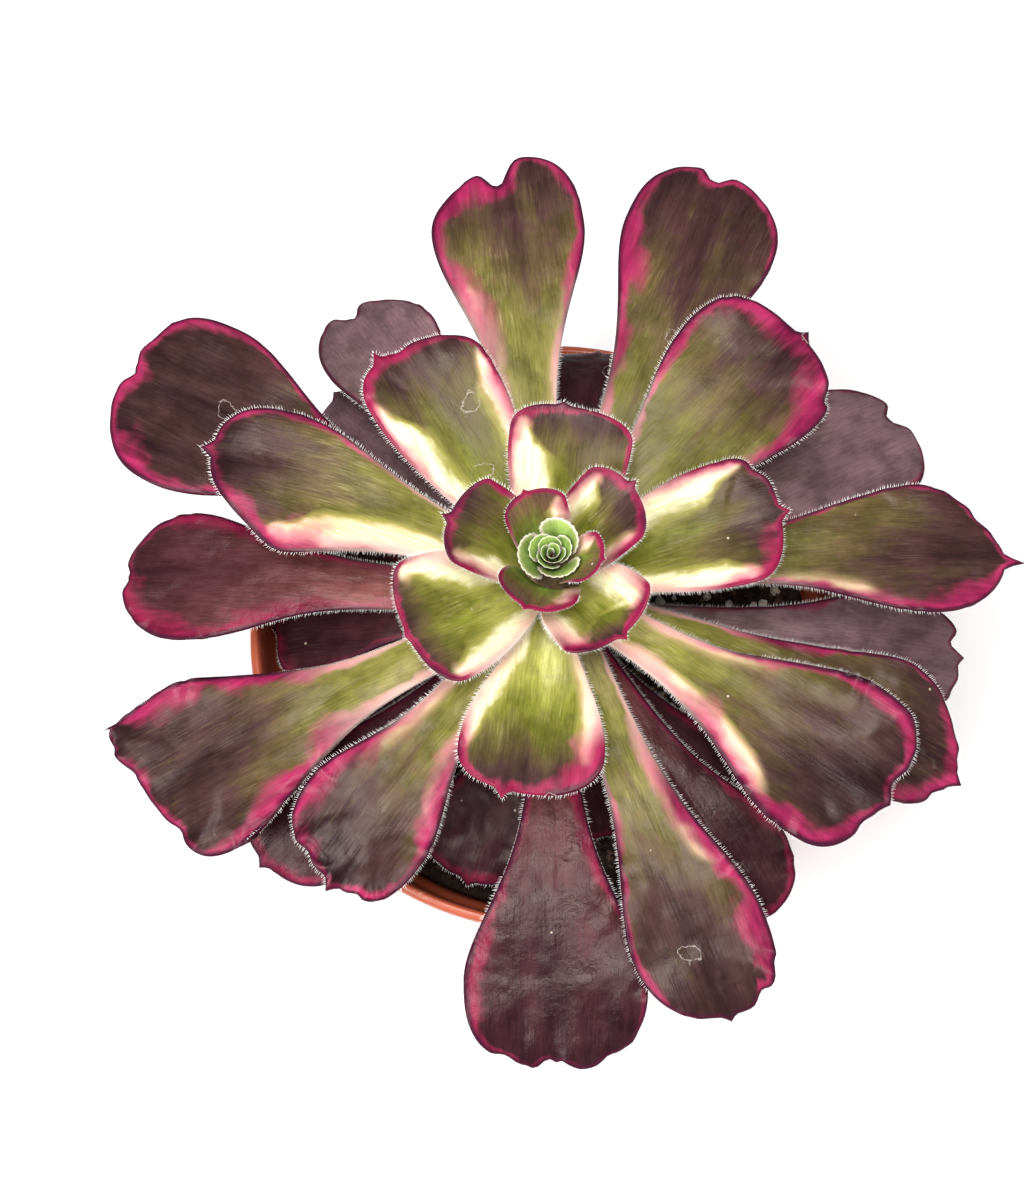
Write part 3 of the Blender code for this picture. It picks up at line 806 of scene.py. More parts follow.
# %% The ground
def ground_colour(skin, ground, sheen):
    """Green to purple by the leaf's own scale, mottled, with pale streaks of painted sheen mixed into the
    colour.
    """
    dark = skin.plus(skin.age, skin.scaled(skin.streak, 0.24, -0.12))
    dark = skin.plus(dark, skin.scaled(skin.drift, 0.54, -0.27))
    dark = skin.plus(dark, skin.scaled(skin.blotch, 0.30, -0.15))
    # painted sheen: pale highlight streaks along the veins, in patches, weaker where the leaf is dark
    painted_sheen = skin.times(skin.remap(skin.veins, 0.48, 0.72), skin.remap(skin.patches, 0.48, 0.66))
    painted_sheen = skin.times(painted_sheen, skin.remap(dark, 0.85, 0.40, 0.08, 0.42))
    colour = skin.mix(painted_sheen, skin.ramp(dark, ground), sheen)
    mottle = skin.remap(skin.blotch, 0.32, 0.68, 0.66, 1.30)
    mottle = skin.times(mottle, skin.remap(skin.strands, 0.34, 0.66, 0.85, 1.17))
    return skin.mix(1.0, colour, skin.grey(mottle), "MULTIPLY")


print("ground ready")


# %% The cream band
def with_cream(skin, colour, band):
    """The cream band, with an olive halo inside it and a blush towards the margin.

    It ends where the distance from the margin passes both widths, plus the fray.
    """
    fray = skin.plus(skin.scaled(skin.streak, 2.2, -1.1), skin.scaled(skin.blotch, 2.8, -1.4))
    fray = skin.times(fray, skin.remap(skin.cream_width, 0.0, 2.5, 0.25, 1.1))
    inside_pink = skin.minus(skin.margin, skin.pink_width)
    into_cream = skin.plus(skin.minus(inside_pink, skin.cream_width), fray)
    into_cream = skin.math("DIVIDE", into_cream, skin.scaled(skin.cream_width, 0.38, 0.5))
    halo = skin.times(skin.remap(into_cream, 2.0, 0.2), skin.has_cream)
    colour = skin.mix(skin.times(halo, 0.70), colour, OLIVE_HALO)
    faded = tuple(0.80 * part * fade for part, fade in zip(band, (1.0, 0.92, 0.52)))
    cream = skin.mix(skin.times(skin.remap(skin.veins, 0.38, 0.72), 0.7), band, faded)
    cream_share = skin.times(skin.remap(into_cream, 0.75, -0.45), skin.has_cream)
    colour = skin.mix(cream_share, colour, cream)
    blush = skin.times(skin.remap(inside_pink, 2.2, 0.0), skin.has_cream)
    return skin.mix(skin.times(blush, 0.60), colour, BLUSH)


print("cream band ready")


# %% The coloured margin
def with_margin(skin, colour, magenta, deep, inner_pink, pale):
    """From inside: a paler pink, magenta, then deep crimson, all gone to pale salmon near the foot."""
    soft = skin.plus(skin.scaled(skin.blotch, 1.4, -0.7), skin.scaled(skin.streak, 1.4, -0.7))
    wander = skin.times(skin.pink_width, skin.remap(skin.patches, 0.36, 0.64, 0.45, 1.35))
    into_pink = skin.math("DIVIDE", skin.plus(skin.margin, soft), skin.plus(wander, 0.12))
    pink_share = skin.remap(into_pink, skin.scaled(skin.has_cream, 1.2, 1.7), 0.55)
    pink_share = skin.times(pink_share, skin.remap(skin.pink_width, 0.05, 0.55))
    inner = skin.mix(skin.scaled(skin.has_cream, 0.66, 0.06), magenta, inner_pink)
    pink = skin.mix(skin.remap(into_pink, 0.0, 0.40), deep, magenta)
    pink = skin.mix(skin.remap(into_pink, 0.35, 1.1), pink, inner)
    shade = skin.times(skin.remap(skin.drift, 0.42, 0.60), 0.5)
    shade = skin.plus(skin.times(skin.remap(skin.streak, 0.38, 0.62), 0.35), shade)
    pink = skin.mix(shade, pink, deep)
    pink = skin.mix(skin.times(pale, 0.88), pink, PALE_MARGIN)
    return skin.mix(pink_share, colour, pink)


print("coloured margin ready")


# %% The rim
def with_rim(skin, colour, pale_rim, dark_rim, outward, pale):
    """A thin rim, wider towards the leaf's end, and dark scorched patches on old ends."""
    rim = skin.mix(skin.minus(1.0, pale), pale_rim, dark_rim)
    rim_share = skin.scaled(outward, -0.35, skin.scaled(skin.patches, 0.9, skin.margin))
    colour = skin.mix(skin.times(skin.remap(rim_share, 0.80, 0.42), 0.85), colour, rim)
    scorch = skin.remap(skin.noise(skin.place(), 55, 2.0), 0.43, 0.53)
    scorch = skin.times(scorch, skin.remap(skin.age, 0.55, 0.80))
    scorch = skin.times(scorch, skin.remap(skin.scaled(skin.blotch, 1.6, skin.margin), 2.0, 0.9))
    return skin.mix(skin.times(scorch, 0.88), colour, DARK_RIM)


print("rim ready")


# %% Marks on a leaf
def with_marks(skin, colour):
    """Broken outlines of dried droplets in some cells of a pattern, and pale specks in a few smaller ones."""
    place = skin.place()
    drops = skin.cells(place, 95)
    warped = skin.scaled(skin.noise(place, 420, 3.0), 0.34, drops.outputs["Distance"])
    ring = skin.times(skin.remap(warped, 0.300, 0.310), skin.remap(warped, 0.326, 0.314))
    ring = skin.times(ring, skin.remap(skin.streak, 0.40, 0.56))
    ring = skin.times(ring, skin.math("GREATER_THAN", skin.chance(drops), 0.72))
    ring = skin.times(ring, skin.minus(1.0, skin.under))
    colour = skin.mix(skin.times(ring, 0.42), colour, WATER_MARK)
    specks = skin.cells(place, 330)
    speck = skin.remap(specks.outputs["Distance"], 0.09, 0.05)
    speck = skin.times(speck, skin.math("GREATER_THAN", skin.chance(specks), 0.93))
    return skin.mix(skin.times(speck, 0.7), colour, SPECK)


print("leaf marks ready")


# %% The whole recipe
def leaf_finish(name, ground, magenta, deep, gloss, paleness, band=SALMON, inner_pink=CORAL,
                sheen=MAUVE_SHEEN, pale_rim=PINK_RIM, dark_rim=DARK_RIM, back=BROWN_BACK, crumple=0.12):
    """Ground, cream, margin, rim, underside and marks, each laid over the last."""
    skin = LeafFinish(name)
    outward = skin.remap(skin.scaled(skin.drift, 0.3, skin.age), 0.42, 0.76)
    pale = skin.times(skin.minus(1.0, outward), skin.math("MAXIMUM", skin.has_cream, paleness))
    colour = with_cream(skin, ground_colour(skin, ground, sheen), band)
    colour = with_margin(skin, colour, magenta, deep, inner_pink, pale)
    colour = with_rim(skin, colour, pale_rim, dark_rim, outward, pale)
    colour = with_marks(skin, skin.mix(skin.times(skin.under, 0.62), colour, back))
    rough = skin.scaled(skin.strands, 0.5, skin.blotch)
    rough = skin.remap(rough, 0.5, 1.0, gloss - 0.05, gloss + 0.12)
    rough = skin.math("MAXIMUM", rough, skin.times(skin.under, 0.55))
    normal = skin.bump(skin.noise(skin.place(), 170, 3.0, 0.5), 0.24, 0.0008)
    normal = skin.bump(skin.veins, 0.14, 0.0003, normal)
    normal = skin.bump(skin.noise(skin.place(), 900, 3.0, 0.6), crumple, 0.0002, normal)
    return skin.wear(colour, rough, normal)


print("leaf recipe ready")

# %% Finishes by age
YOUNG = {"band": CREAM, "sheen": PALE_SHEEN, "dark_rim": CRIMSON_RIM, "back": GREEN_BACK}
bud_skin = leaf_finish("bud_skin", BUD_GREEN, (0.72, 0.56, 0.36), (0.42, 0.20, 0.12), 0.45, 1.0,
                       band=(0.95, 0.92, 0.70), inner_pink=(0.86, 0.80, 0.52), sheen=(0.62, 0.66, 0.40),
                       pale_rim=(0.92, 0.94, 0.70), dark_rim=CRIMSON_RIM, back=GREEN_BACK)
heart_skin = leaf_finish("heart_skin", FRESH, (0.34, 0.022, 0.075), (0.14, 0.006, 0.03), 0.36, 0.5, **YOUNG)
inner_skin = leaf_finish("inner_skin", LEAFY, (0.33, 0.016, 0.075), (0.10, 0.004, 0.024), 0.32, 0.9, **YOUNG)
middle_skin = leaf_finish("middle_skin", BRONZE, (0.36, 0.020, 0.090), (0.085, 0.003, 0.021), 0.30, 0.75,
                          sheen=PALE_SHEEN)
outer_skin = leaf_finish("outer_skin", MAROON, (0.24, 0.010, 0.050), (0.06, 0.0025, 0.014), 0.28, 0.2,
                         crumple=0.45)
dusty_skin = leaf_finish("dusty_skin", DUSTY, (0.20, 0.030, 0.065), (0.06, 0.012, 0.025), 0.32, 0.2)
old_skin = leaf_finish("old_skin", MAROON, (0.15, 0.006, 0.03), (0.045, 0.002, 0.010), 0.34, 0.0)
LEAF_GROUPS = [
    ("leaf_heart", range(YOUNGEST_OPEN, 9), heart_skin),
    ("leaf_inner", range(9, 17), inner_skin),
    ("leaf_middle", range(17, 28), middle_skin),
    ("leaf_outer", range(29, 35), outer_skin),
    ("leaf_outer", (28, 35, 36), dusty_skin),
    ("leaf_old", (40,), dusty_skin),
    ("leaf_old", (37, 38, 39, *range(41, 51)), old_skin),
]
hair_white = Finish("hair_white", Roughness=0.6, Specular_IOR_Level=0.2)
grain = hair_white.noise(hair_white.place(), 2500)
hair_white.wear(hair_white.ramp(grain, [(0.35, (1.0, 0.94, 0.92)), (0.65, (1.0, 1.0, 0.98))]))
print("leaf groups:", len(LEAF_GROUPS))

# %% [markdown]
# ## Growing the rosette
# With the blade, its fringe, its bands and its finish ready, each leaf is one call with its number.

# %% The leaves
def banded_blade(name, face, thickness, bands, ground, fade=1):
    """The closed blade with what its finish reads: the two bands' widths, and the ground along the leaf."""
    mesh, both = blade_mesh(name, face, thickness)
    along, across = face["along"], face["across"]
    add_field(mesh, "pink_width", both(band_width(bands[0], along, across)))
    add_field(mesh, "cream_width", both(band_width(bands[1], along, across) * fade))
    add_field(mesh, "dark", both(np.interp(along, *ground)))
    return mesh


def grow_leaf(number, slot, material):
    """One leaf and its fringe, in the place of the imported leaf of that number."""
    name = f"leaf_{number:02d}"
    thickness, foot = flesh(number), leaf_height(number)
    face = blade(number, LEAVES[number], foot, stem_radius(foot - thickness) + GAP)
    bands = BANDS.get(number, PLAIN_BANDS)
    ground = GROUND_STATIONS, np.array(GROUNDS.get(number, OLD_GROUND)) / 100
    mesh = banded_blade(f"{name}_blade", face, thickness, bands, ground, tip_fade(face))
    new_piece(f"{name}_blade", mesh, material, [name])
    length, bare = (YOUNG_HAIR, 0.24) if slot == "leaf_heart" else (HAIR_LENGTH, 0.02)
    points, faces = margin_hairs(face, thickness, number, length, bare)
    hair = new_mesh(f"{name}_hairs", points, [faces])
    hair.shade_flat()
    new_piece(f"{name}_hairs", hair, hair_white.material)
    return len(mesh.polygons), len(hair.polygons)


for slot, numbers, material in LEAF_GROUPS:
    made = [grow_leaf(number, slot, material) for number in numbers]
    print(slot, "faces of blades and hairs:", np.sum(made, axis=0))

# %% [markdown]
# ## The heart
# At the growing tip the youngest leaves are still wrapped round each other in a tight spiral, like a rose.
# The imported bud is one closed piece, and the three leaves round it are small cups. Here the bud becomes nine
# leaves that are rolled round the plant's axis, and each cup becomes one: instead of a distance to the side,
# a point has an angle. The rims are almost level, so from above they read as a spiral of thin pale arcs.

# %% Leaves rolled round the axis
def rolled_blade(azimuth, foot_radius, foot_height, reach, tip_height, wrap, rows=34, columns=41):
    """The inner face of a leaf that wraps round the axis by an angle either way.

    Its radius grows with the way up, in part straight and in part by the square, so that it flares at
    the rim. The rim is a superellipse cap, frilled by short waves, and one side lies a little further
    out than the other, so that it tucks under the next leaf.
    """
    share = (1 - (1 - np.linspace(0, 1, rows)) ** 1.4)[:, None]
    across = np.sin(np.linspace(-pi / 2, pi / 2, columns))[None, :]
    end = 0.62 + 0.38 * (1 - np.abs(across) ** 2.2) ** (1 / 2.2)
    along = share * end
    angle = wrap * across * (0.62 + 0.38 * np.sin(pi / 2 * along))
    climb, flare = tip_height - foot_height, reach - foot_radius
    radial = foot_radius + flare * (0.55 * along + 0.45 * along**2) + 0.13 * reach * across * along
    height = foot_height + climb * along
    flat = np.stack([along * climb, angle * 0.75 * reach], axis=-1)
    margin, travelled = nearest_margin(flat)
    frill = 0.022 * reach * np.exp(-margin / (0.12 * reach))
    radial = radial + frill * np.sin(travelled / (0.13 * MM) + 40 * azimuth) * along
    slope = flare * (0.55 + 0.90 * along)
    size = np.hypot(slope, climb)
    turn = azimuth + angle
    points = np.stack([radial * np.cos(turn), radial * np.sin(turn), height], axis=-1)
    up = np.stack([-climb / size * np.cos(turn), -climb / size * np.sin(turn), slope / size], axis=-1)
    return {"points": points, "up": up, "along": along, "across": across + 0 * along,
            "margin": margin, "flat": flat}


print("rolled blade ready")

# %% The three cups
CUP_THICKNESS, CUP_DROP_MM, CUP_WRAP = 0.4 * MM, 1.3, radians(64)
CUP_GROUND, BUD_GROUND = ((0, 0.6, 1), (0.75, 0.46, 0.34)), ((0, 0.6, 1), (0.75, 0.48, 0.30))
for number in range(FIRST_LEAF, YOUNGEST_OPEN):
    name = f"leaf_{number:02d}"
    lean, reach_mm, tip_height = LEAVES[number][:3]
    azimuth = radians(FIRST_AZIMUTH + GOLDEN_ANGLE * number + lean)
    tip = POT_HEIGHT + (tip_height - CUP_DROP_MM) * MM
    face = rolled_blade(azimuth, 1.5 * MM, leaf_height(number), reach_mm * MM, tip, CUP_WRAP)
    mesh = banded_blade(f"{name}_blade", face, CUP_THICKNESS, CUP_BANDS, CUP_GROUND)
    new_piece(f"{name}_blade", mesh, bud_skin, [name])
    points, faces = margin_hairs(face, CUP_THICKNESS, number, HEART_HAIR)
    new_piece(f"{name}_hairs", new_mesh(f"{name}_hairs", points, [faces]), hair_white.material)
print("rolled leaves:", FIRST_LEAF, "to", YOUNGEST_OPEN - 1)

# %% The bud's spiral
BUD_LEAVES, BUD_THICKNESS = 9, 0.22 * MM


def bud_leaf(index):
    """A tiny leaf: its reach shrinks in equal steps towards the heart, and it wraps further round."""
    azimuth = radians(FIRST_AZIMUTH + GOLDEN_ANGLE * (FIRST_LEAF - 1 - index))
    reach = (3.3 - 0.34 * index) * MM
    tip = POT_HEIGHT + (41.2 - 0.10 * index) * MM
    return rolled_blade(azimuth, 0.35 * reach, CROWN_TOP + GAP, reach, tip, radians(60 + 4 * index), 26, 33)


print("bud leaves to come:", BUD_LEAVES)

# %% The bud's leaves and hairs
bud_faces = [bud_leaf(index) for index in range(BUD_LEAVES)]
bud_objects = []
for index, face in enumerate(bud_faces):
    mesh = banded_blade("heart_bud_leaves", face, BUD_THICKNESS, BUD_BANDS, BUD_GROUND)
    bud_objects.append(bpy.data.objects.new(f"bud_leaf_{index}", mesh))
    bpy.context.scene.collection.objects.link(bud_objects[-1])
with bpy.context.temp_override(active_object=bud_objects[0], selected_editable_objects=bud_objects):
    bpy.ops.object.join()
bud_mesh = bud_objects[0].data
bpy.data.objects.remove(bud_objects[0])
new_piece("heart_bud_leaves", bud_mesh, bud_skin, ["heart_bud"])
fringes = [margin_hairs(face, BUD_THICKNESS, 50 + index, BUD_HAIR) for index, face in enumerate(bud_faces)]
starts = np.cumsum([0] + [len(points) for points, _ in fringes])
hair_faces = np.concatenate([faces + start for (_, faces), start in zip(fringes, starts)])
hairs = new_mesh("heart_bud_hairs", np.concatenate([points for points, _ in fringes]), [hair_faces])
new_piece("heart_bud_hairs", hairs, hair_white.material)
print("bud faces:", len(bud_mesh.polygons), "hairs:", len(hair_faces) // 4)

# %% [markdown]
# ## Turned pieces
# The pot, the potting mix and the stem are all solids of revolution. A profile of radii and heights is
# carried round the axis. Where it starts or ends on the axis, a single point and a fan of triangles close
# the pole. A profile's corners can be cut first, which rounds them as moulding does.

# %% A turned surface
def rounded(profile, times):
    """Chaikin's corner cutting: each step goes to a quarter and three quarters of every stretch."""
    line = np.asarray(profile, float)
    for _ in range(times):
        near, far = 0.75 * line[:-1] + 0.25 * line[1:], 0.25 * line[:-1] + 0.75 * line[1:]
        line = np.concatenate([line[:1], np.stack([near, far], axis=1).reshape(-1, 2), line[-1:]])
    return line


def turned(name, profile, steps, shift=None):
    """A closed solid from a profile that starts and ends on the axis.

    A point at radius r, height h and angle a is (r cos a, r sin a, h), moved by shift(points) if given.
    """
    angle = np.linspace(0, 2 * pi, steps + 1)[:-1]
    ring = profile[1:-1]
    radius, height = ring[:, :1], ring[:, 1:]
    points = np.stack([radius * np.cos(angle), radius * np.sin(angle), height + 0 * angle], axis=-1)
    if shift is not None:
        points = points + shift(points)
    count = points.shape[0] * steps
    ends = np.array([(0, 0, profile[0, 1]), (0, 0, profile[-1, 1])])
    numbers = np.arange(count).reshape(-1, steps)
    wrapped = np.concatenate([numbers, numbers[:, :1]], axis=1)
    first, last = wrapped[0], wrapped[-1]
    start = np.stack([np.full(steps, count), first[:-1], first[1:]], axis=-1)
    close = np.stack([np.full(steps, count + 1), last[1:], last[:-1]], axis=-1)
    points = np.concatenate([points.reshape(-1, 3), ends])
    return new_mesh(name, points, [grid_faces(wrapped), np.concatenate([start, close])])


print("turning ready")

# %% [markdown]
# ## The pot's plastic
# The plastic is a matt terracotta orange with a soft gloss. It is dusted with dry soil near its foot and
# inside, and scuffed along the lip. An even colour would look like new moulding, so the dust follows the
# height in the object's own coordinates, and a slow mottle varies the orange.

# %% Terracotta plastic
plastic = Finish("terracotta_plastic", Specular_IOR_Level=0.5)
place = plastic.place()
height = plastic.node("SeparateXYZ", (place,)).outputs["Z"]
mottle = plastic.noise(place, 60, 5.0, 0.6)
grain = plastic.noise(place, 900, 3.0, 0.6)
smears = plastic.remap(plastic.noise(place, 120, 5.0, 0.7), 0.42, 0.62)
scratches = plastic.remap(plastic.noise(place, 340, 4.0, 0.75), 0.60, 0.70)
dust = plastic.times(plastic.remap(height, 0.022, 0.001), smears)
scuff = plastic.times(scratches, plastic.remap(height, 0.086, 0.0915))
ORANGE = [(0.30, (0.42, 0.082, 0.036)), (0.55, (0.46, 0.094, 0.042)), (0.75, (0.50, 0.108, 0.050))]
colour = plastic.ramp(mottle, ORANGE)
colour = plastic.mix(plastic.times(dust, 0.45), colour, (0.26, 0.17, 0.11))
colour = plastic.mix(plastic.times(scuff, 0.35), colour, (0.80, 0.42, 0.30))
gloss = plastic.remap(plastic.plus(grain, dust), 0.3, 1.2, 0.34, 0.62)
plastic.wear(colour, gloss, plastic.bump(grain, 0.10, 0.0002, plastic.bump(mottle, 0.10, 0.0008)))
print("plastic nodes:", len(plastic.tree.nodes))

# %% [markdown]
# ## The pot
# A thin moulded nursery pot: a narrow rolled lip, a straight band below it, a step, a tapered wall and a
# small foot. The wall is one profile, up the inside and down the outside, with its corners cut twice and
# turned in fine steps. The drain holes are cut with Boolean cutters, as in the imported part.

# %% The pot
RIM_RADIUS = 52.5 * MM
BASE_RADIUS = 37 * MM
WALL, FLOOR = 1.2 * MM, 1.6 * MM
BAND_FOOT = POT_HEIGHT - 15 * MM
WALL_TOP = RIM_RADIUS - 3.8 * MM

INSIDE_WALL = [
    (BASE_RADIUS - WALL + 0.2 * MM, FLOOR), (WALL_TOP - WALL, BAND_FOOT - 1.0 * MM),
    (RIM_RADIUS - 2.8 * MM, BAND_FOOT + 1.0 * MM), (RIM_RADIUS - 2.2 * MM, POT_HEIGHT - 4.0 * MM),
    (RIM_RADIUS - 1.9 * MM, POT_HEIGHT - 1.0 * MM), (RIM_RADIUS - 1.5 * MM, POT_HEIGHT - 0.1 * MM),
]
OUTSIDE_WALL = [
    (RIM_RADIUS - 0.9 * MM, POT_HEIGHT), (RIM_RADIUS, POT_HEIGHT - 0.5 * MM),
    (RIM_RADIUS, POT_HEIGHT - 2.4 * MM), (RIM_RADIUS - 0.5 * MM, POT_HEIGHT - 3.2 * MM),
    (RIM_RADIUS - 0.95 * MM, POT_HEIGHT - 3.6 * MM), (RIM_RADIUS - 1.6 * MM, BAND_FOOT + 0.9 * MM),
    (RIM_RADIUS - 1.9 * MM, BAND_FOOT + 0.2 * MM), (WALL_TOP, BAND_FOOT - 0.5 * MM),
    (WALL_TOP - 0.2 * MM, BAND_FOOT - 3.0 * MM), (BASE_RADIUS + 1.2 * MM, 4.6 * MM),
    (BASE_RADIUS + 0.2 * MM, 4.0 * MM), (BASE_RADIUS + 0.5 * MM, 0.8 * MM), (BASE_RADIUS, 0),
]
FOOT_RING = [(BASE_RADIUS - 2.5 * MM, 0), (BASE_RADIUS - 3.2 * MM, 0.5 * MM), (0, 0.5 * MM)]
pot_profile = rounded([(0, FLOOR), *INSIDE_WALL, *OUTSIDE_WALL, *FOOT_RING], 2)
pot_mesh = turned("pot_shell", pot_profile, 180)
pot = new_piece("pot_shell", pot_mesh, plastic.material, ["pot"])

# %% The drain holes
DRAINS, DRAIN_CIRCLE, DRAIN_RADIUS = 8, 27 * MM, 3.4 * MM
drill_profile = np.array([(0, 3 * MM), (DRAIN_RADIUS, 3 * MM), (DRAIN_RADIUS, -MM), (0, -MM)])
cutters = []
for number in range(DRAINS):
    angle = 2 * pi * (number + 0.5) / DRAINS
    drill = bpy.data.objects.new("drill", turned("drill", drill_profile, 28))
    drill.data.transform(Matrix.Translation((DRAIN_CIRCLE * cos(angle), DRAIN_CIRCLE * sin(angle), 0)))
    bpy.context.scene.collection.objects.link(drill)
    cut = pot.modifiers.new("drain", "BOOLEAN")
    cut.object, cut.operation = drill, "DIFFERENCE"
    cutters.append(drill)
whole = bpy.data.meshes.new_from_object(pot.evaluated_get(bpy.context.evaluated_depsgraph_get()))
pot.modifiers.clear()
pot.data = whole
for drill in cutters:
    bpy.data.objects.remove(drill)
whole.set_sharp_from_angle(angle=radians(40))
print("pot faces:", len(whole.polygons), "finish:", [material.name for material in whole.materials])

# %% [markdown]
# ## The potting mix
# The mix is a dark, crumbly bed of bark and coir with grit and pumice in it. One turned body with a rough
# top fills the pot. Thousands of small lumps lie on it: each is a twelve-point crystal, stretched and
# turned at random, which is enough for something a millimetre or two across.

# %% The bed
def inner_radius(height):
    """The radius of the pot's inner face at a height."""
    return np.interp(height, [z for _, z in INSIDE_WALL], [r for r, _ in INSIDE_WALL])


well = float(stem_radius(SOIL_TOP)) + GAP
bed_radius = float(inner_radius(SOIL_TOP)) - GAP
bed_top, bed_foot, well_foot = SOIL_TOP + 0.6 * MM, FLOOR + GAP, SOIL_TOP - ROOT_DEPTH - GAP
top_rings = [(r, bed_top) for r in np.linspace(well + 0.3 * MM, bed_radius - 0.4 * MM, 70)]
bed_profile = np.array([
    (0, well_foot), (well, well_foot), (well, SOIL_TOP - 2 * MM), *top_rings,
    (bed_radius, SOIL_TOP - 1.5 * MM), (float(inner_radius(bed_foot)) - GAP, bed_foot), (0, bed_foot),
])


def bed_bumps(points):
    """Two sizes of bump, on the top face only."""
    on_top = (points[..., 2] > SOIL_TOP)[..., None] * np.array((0, 0, 1.0))
    rough = 0.7 * waviness(points, 9 * MM, 5) + 0.5 * waviness(points, 2.5 * MM, 6, 24)
    return on_top * rough[..., None] * MM


bed_mesh = turned("potting_bed", bed_profile, 200, bed_bumps)
humus = Finish("humus", Specular_IOR_Level=0.25)
crumbs = humus.noise(humus.place(), 700, 5.0, 0.7)
EARTH = [(0.3, (0.008, 0.005, 0.004)), (0.55, (0.026, 0.016, 0.012)), (0.75, (0.075, 0.048, 0.034))]
dull = humus.remap(crumbs, 0.3, 0.7, 0.75, 0.98)
humus.wear(humus.ramp(crumbs, EARTH), dull, humus.bump(crumbs, 0.8, 0.0008))
new_piece("potting_bed", bed_mesh, humus.material, ["soil"])
print("bed faces:", len(bed_mesh.polygons))

# %% Lumps scattered on the bed
BARK_COUNT, GRIT_COUNT = 2600, 330
# a regular solid of twenty triangles, from the golden ratio
GOLDEN = (1 + 5**0.5) / 2
CRYSTAL = np.array([
    (-1, GOLDEN, 0), (1, GOLDEN, 0), (-1, -GOLDEN, 0), (1, -GOLDEN, 0), (0, -1, GOLDEN), (0, 1, GOLDEN),
    (0, -1, -GOLDEN), (0, 1, -GOLDEN), (GOLDEN, 0, -1), (GOLDEN, 0, 1), (-GOLDEN, 0, -1), (-GOLDEN, 0, 1),
]) / 1.9
CRYSTAL_FACES = np.array([
    (0, 11, 5), (0, 5, 1), (0, 1, 7), (0, 7, 10), (0, 10, 11), (1, 5, 9), (5, 11, 4), (11, 10, 2),
    (10, 7, 6), (7, 1, 8), (3, 9, 4), (3, 4, 2), (3, 2, 6), (3, 6, 8), (3, 8, 9), (4, 9, 5), (2, 4, 11),
    (6, 2, 10), (8, 6, 7), (9, 8, 1),
])


def scattered(name, count, small, large, squash, seed):
    """Lumps on the bed: each is the crystal, roughened, stretched, turned by a random rotation and placed.

    The radius of its spot is the root of an even draw between squares, so the ring fills evenly.
    """
    draw = np.random.default_rng(seed)
    size = draw.uniform(small, large, count) / 2
    stretch = draw.uniform(squash, 1.0, (count, 1, 3)) * size[:, None, None]
    shape = CRYSTAL[None] * draw.uniform(0.75, 1.2, (count, 12, 1)) * stretch
    turns = np.linalg.qr(draw.normal(size=(count, 3, 3)))[0]
    turns *= np.sign(np.linalg.det(turns))[:, None, None]
    shape = np.einsum("nij,nkj->nki", turns, shape)
    radius = np.sqrt(draw.uniform((well + 1 * MM) ** 2, (bed_radius - 1.2 * MM) ** 2, count))
    angle = draw.uniform(0, 2 * pi, count)
    spot = np.stack([radius * np.cos(angle), radius * np.sin(angle), np.full(count, bed_top)], axis=-1)
    spot += bed_bumps(spot[:, None, :])[:, 0]
    spot[:, 2] += draw.uniform(0.0, 0.7, count) * size
    points = (shape + spot[:, None, :]).reshape(-1, 3)
    faces = (CRYSTAL_FACES[None] + 12 * np.arange(count)[:, None, None]).reshape(-1, 3)
    mesh = new_mesh(name, points, [faces])
    mesh.polygons.foreach_set("use_smooth", np.zeros(len(faces), bool))
    return mesh


bark = Finish("bark_chips", Specular_IOR_Level=0.3)
tone = bark.noise(bark.place(), 420, 3.0, 0.6)
BARK = [(0.32, (0.010, 0.006, 0.005)), (0.52, (0.045, 0.026, 0.018)), (0.72, (0.16, 0.095, 0.06))]
fibres = bark.bump(bark.noise(bark.place(), 1500, 3.0), 0.5, 0.0004)
bark.wear(bark.ramp(tone, BARK), bark.remap(tone, 0.3, 0.7, 0.7, 0.95), fibres)
chalk = Finish("pumice_stone", Specular_IOR_Level=0.3)
grey = chalk.noise(chalk.place(), 500, 4.0, 0.6)
pits = chalk.cells(chalk.place(), 1500).outputs["Distance"]
colour = chalk.ramp(grey, [(0.3, (0.34, 0.29, 0.23)), (0.5, (0.62, 0.57, 0.49)), (0.75, (0.86, 0.83, 0.76))])
colour = chalk.mix(chalk.remap(pits, 0.22, 0.08), colour, (0.20, 0.16, 0.12))
pitted = chalk.bump(chalk.remap(pits, 0.0, 0.35), 0.7, 0.0005)
chalk.wear(colour, chalk.remap(grey, 0.3, 0.7, 0.8, 0.98), pitted)
bark_mesh = scattered("bark_lumps", BARK_COUNT, 0.8 * MM, 2.6 * MM, 0.45, 11)
new_piece("bark_lumps", bark_mesh, bark.material)
grit_mesh = scattered("grit_lumps", GRIT_COUNT, 0.9 * MM, 2.6 * MM, 0.7, 12)
new_piece("grit_lumps", grit_mesh, chalk.material)
print("lumps:", BARK_COUNT + GRIT_COUNT)

# %% [markdown]
# ## Pumice
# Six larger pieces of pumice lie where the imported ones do. Each is a ball with a lumpy radius: long waves
# for its shape and short ones for its broken surface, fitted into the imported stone's box.

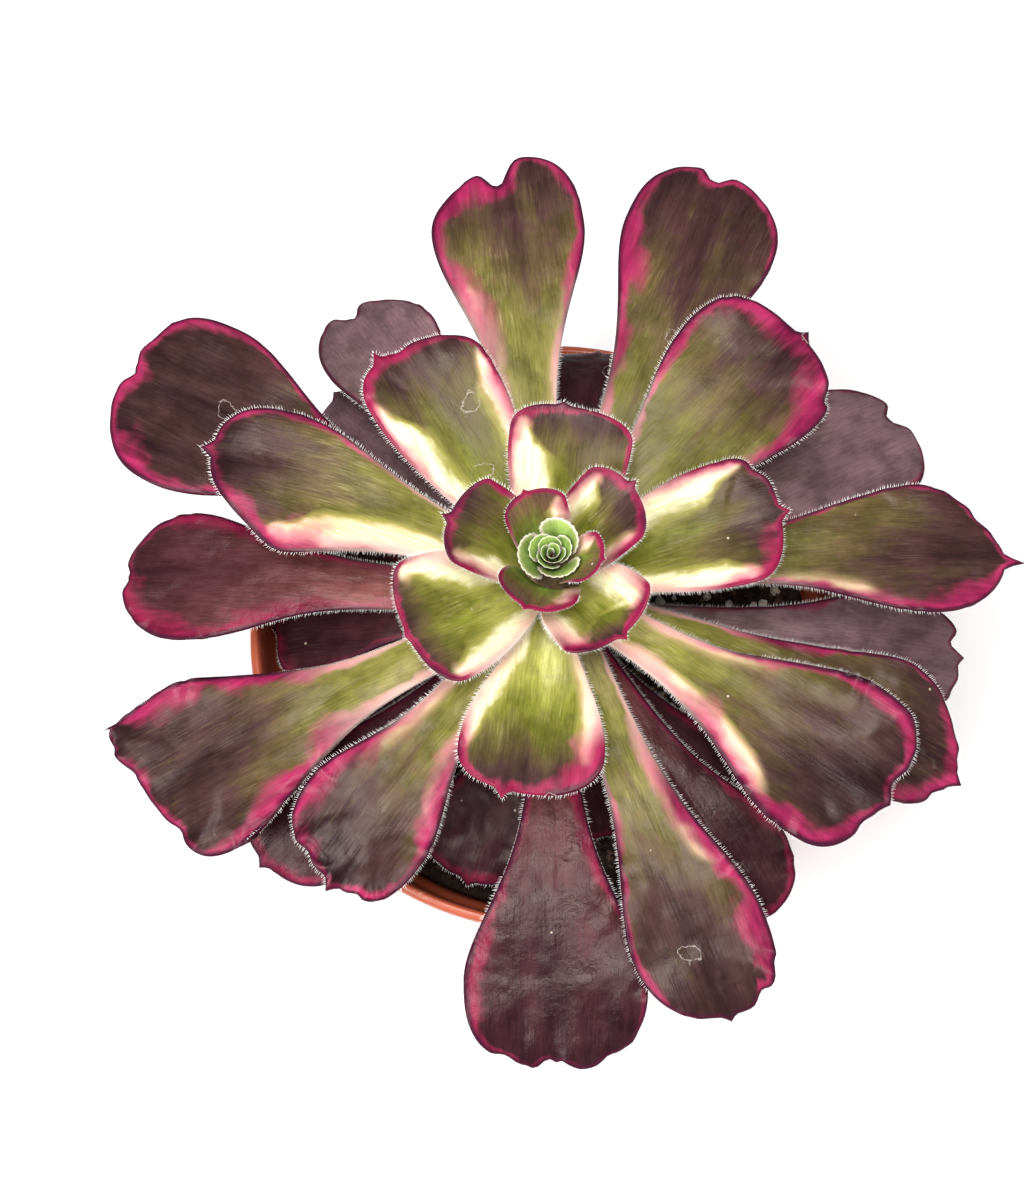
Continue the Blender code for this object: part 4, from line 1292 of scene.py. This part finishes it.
# %% The larger stones
for number in range(1, 7):
    low, high = (np.array(corner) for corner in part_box(f"pumice_{number}"))
    bow = np.linspace(0, pi, 26)
    ball = turned(f"stone_{number}", np.stack([np.sin(bow), np.cos(bow)], axis=-1), 40)
    points = np.empty(len(ball.vertices) * 3, np.float32)
    ball.vertices.foreach_get("co", points)
    points = points.reshape(-1, 3).astype(float)
    lumps = 0.10 * waviness(points, 1.6, 30 + number) + 0.05 * waviness(points, 0.5, 40 + number, 24)
    points *= 1 + lumps[:, None]
    points -= points.min(axis=0)
    points = low + points / points.max(axis=0) * (high - low)
    ball.vertices.foreach_set("co", points.astype(np.float32).reshape(-1))
    ball.update()
    new_piece(f"stone_{number}", ball, chalk.material, [f"pumice_{number}"])
print("stones seated in their packed boxes")

# %% [markdown]
# ## The stem
# Below the leaves the stem is short, woody and ringed with the scars of leaves that have dropped. The scars
# go on down the same spiral as the leaves: each is a low, wide bell of bark.

# %% The stem
OLD_SCARS = range(38, 72)


def scars(points):
    """Each dropped leaf's scar pushes the bark out by a bell, wide round the stem and low along it."""
    angle = np.arctan2(points[..., 1], points[..., 0])
    push = 0.25 * waviness(points * (1, 1, 0.25), 3 * MM, 71) * MM
    for number in OLD_SCARS:
        away = angle - radians(FIRST_AZIMUTH + GOLDEN_ANGLE * number)
        around = np.arctan2(np.sin(away), np.cos(away)) * STEM_RADIUS
        rise = points[..., 2] - leaf_height(number)
        push = push + 0.55 * MM * np.exp(-((around / (2.4 * MM)) ** 2) - (rise / (0.55 * MM)) ** 2)
    in_air = (points[..., 2] < CROWN_TOP - 2 * MM) * (points[..., 2] > SOIL_TOP - 2 * MM)
    push = np.clip(push, -0.2 * MM, 0.25 * MM) * in_air
    outward = points * (1, 1, 0)
    return outward / np.linalg.norm(outward, axis=-1, keepdims=True) * push[..., None]


heights = np.concatenate([[SOIL_TOP - ROOT_DEPTH], np.linspace(SOIL_TOP - 4 * MM, CROWN_TOP, 170)])
side = np.stack([stem_radius(heights), heights], axis=-1)
stem_profile = np.concatenate([[(0, heights[0])], side, [(0, heights[-1])]])[::-1]
stem_mesh = turned("stem_bark", stem_profile, 72, scars)
corky = Finish("corky_bark", Specular_IOR_Level=0.3)
flakes = corky.noise(corky.place(), 380, 5.0, 0.7)
CORK = [(0.3, (0.06, 0.035, 0.02)), (0.52, (0.20, 0.13, 0.08)), (0.75, (0.38, 0.29, 0.19))]
dull = corky.remap(flakes, 0.3, 0.7, 0.7, 0.92)
corky.wear(corky.ramp(flakes, CORK), dull, corky.bump(flakes, 0.6, 0.0006))
new_piece("stem_bark", stem_mesh, corky.material, ["stem"])
print("stem faces:", len(stem_mesh.polygons))

# %% [markdown]
# ## The end
# The finished plant has to stay in the imported parts' box.

# %% The end
print("scene built")
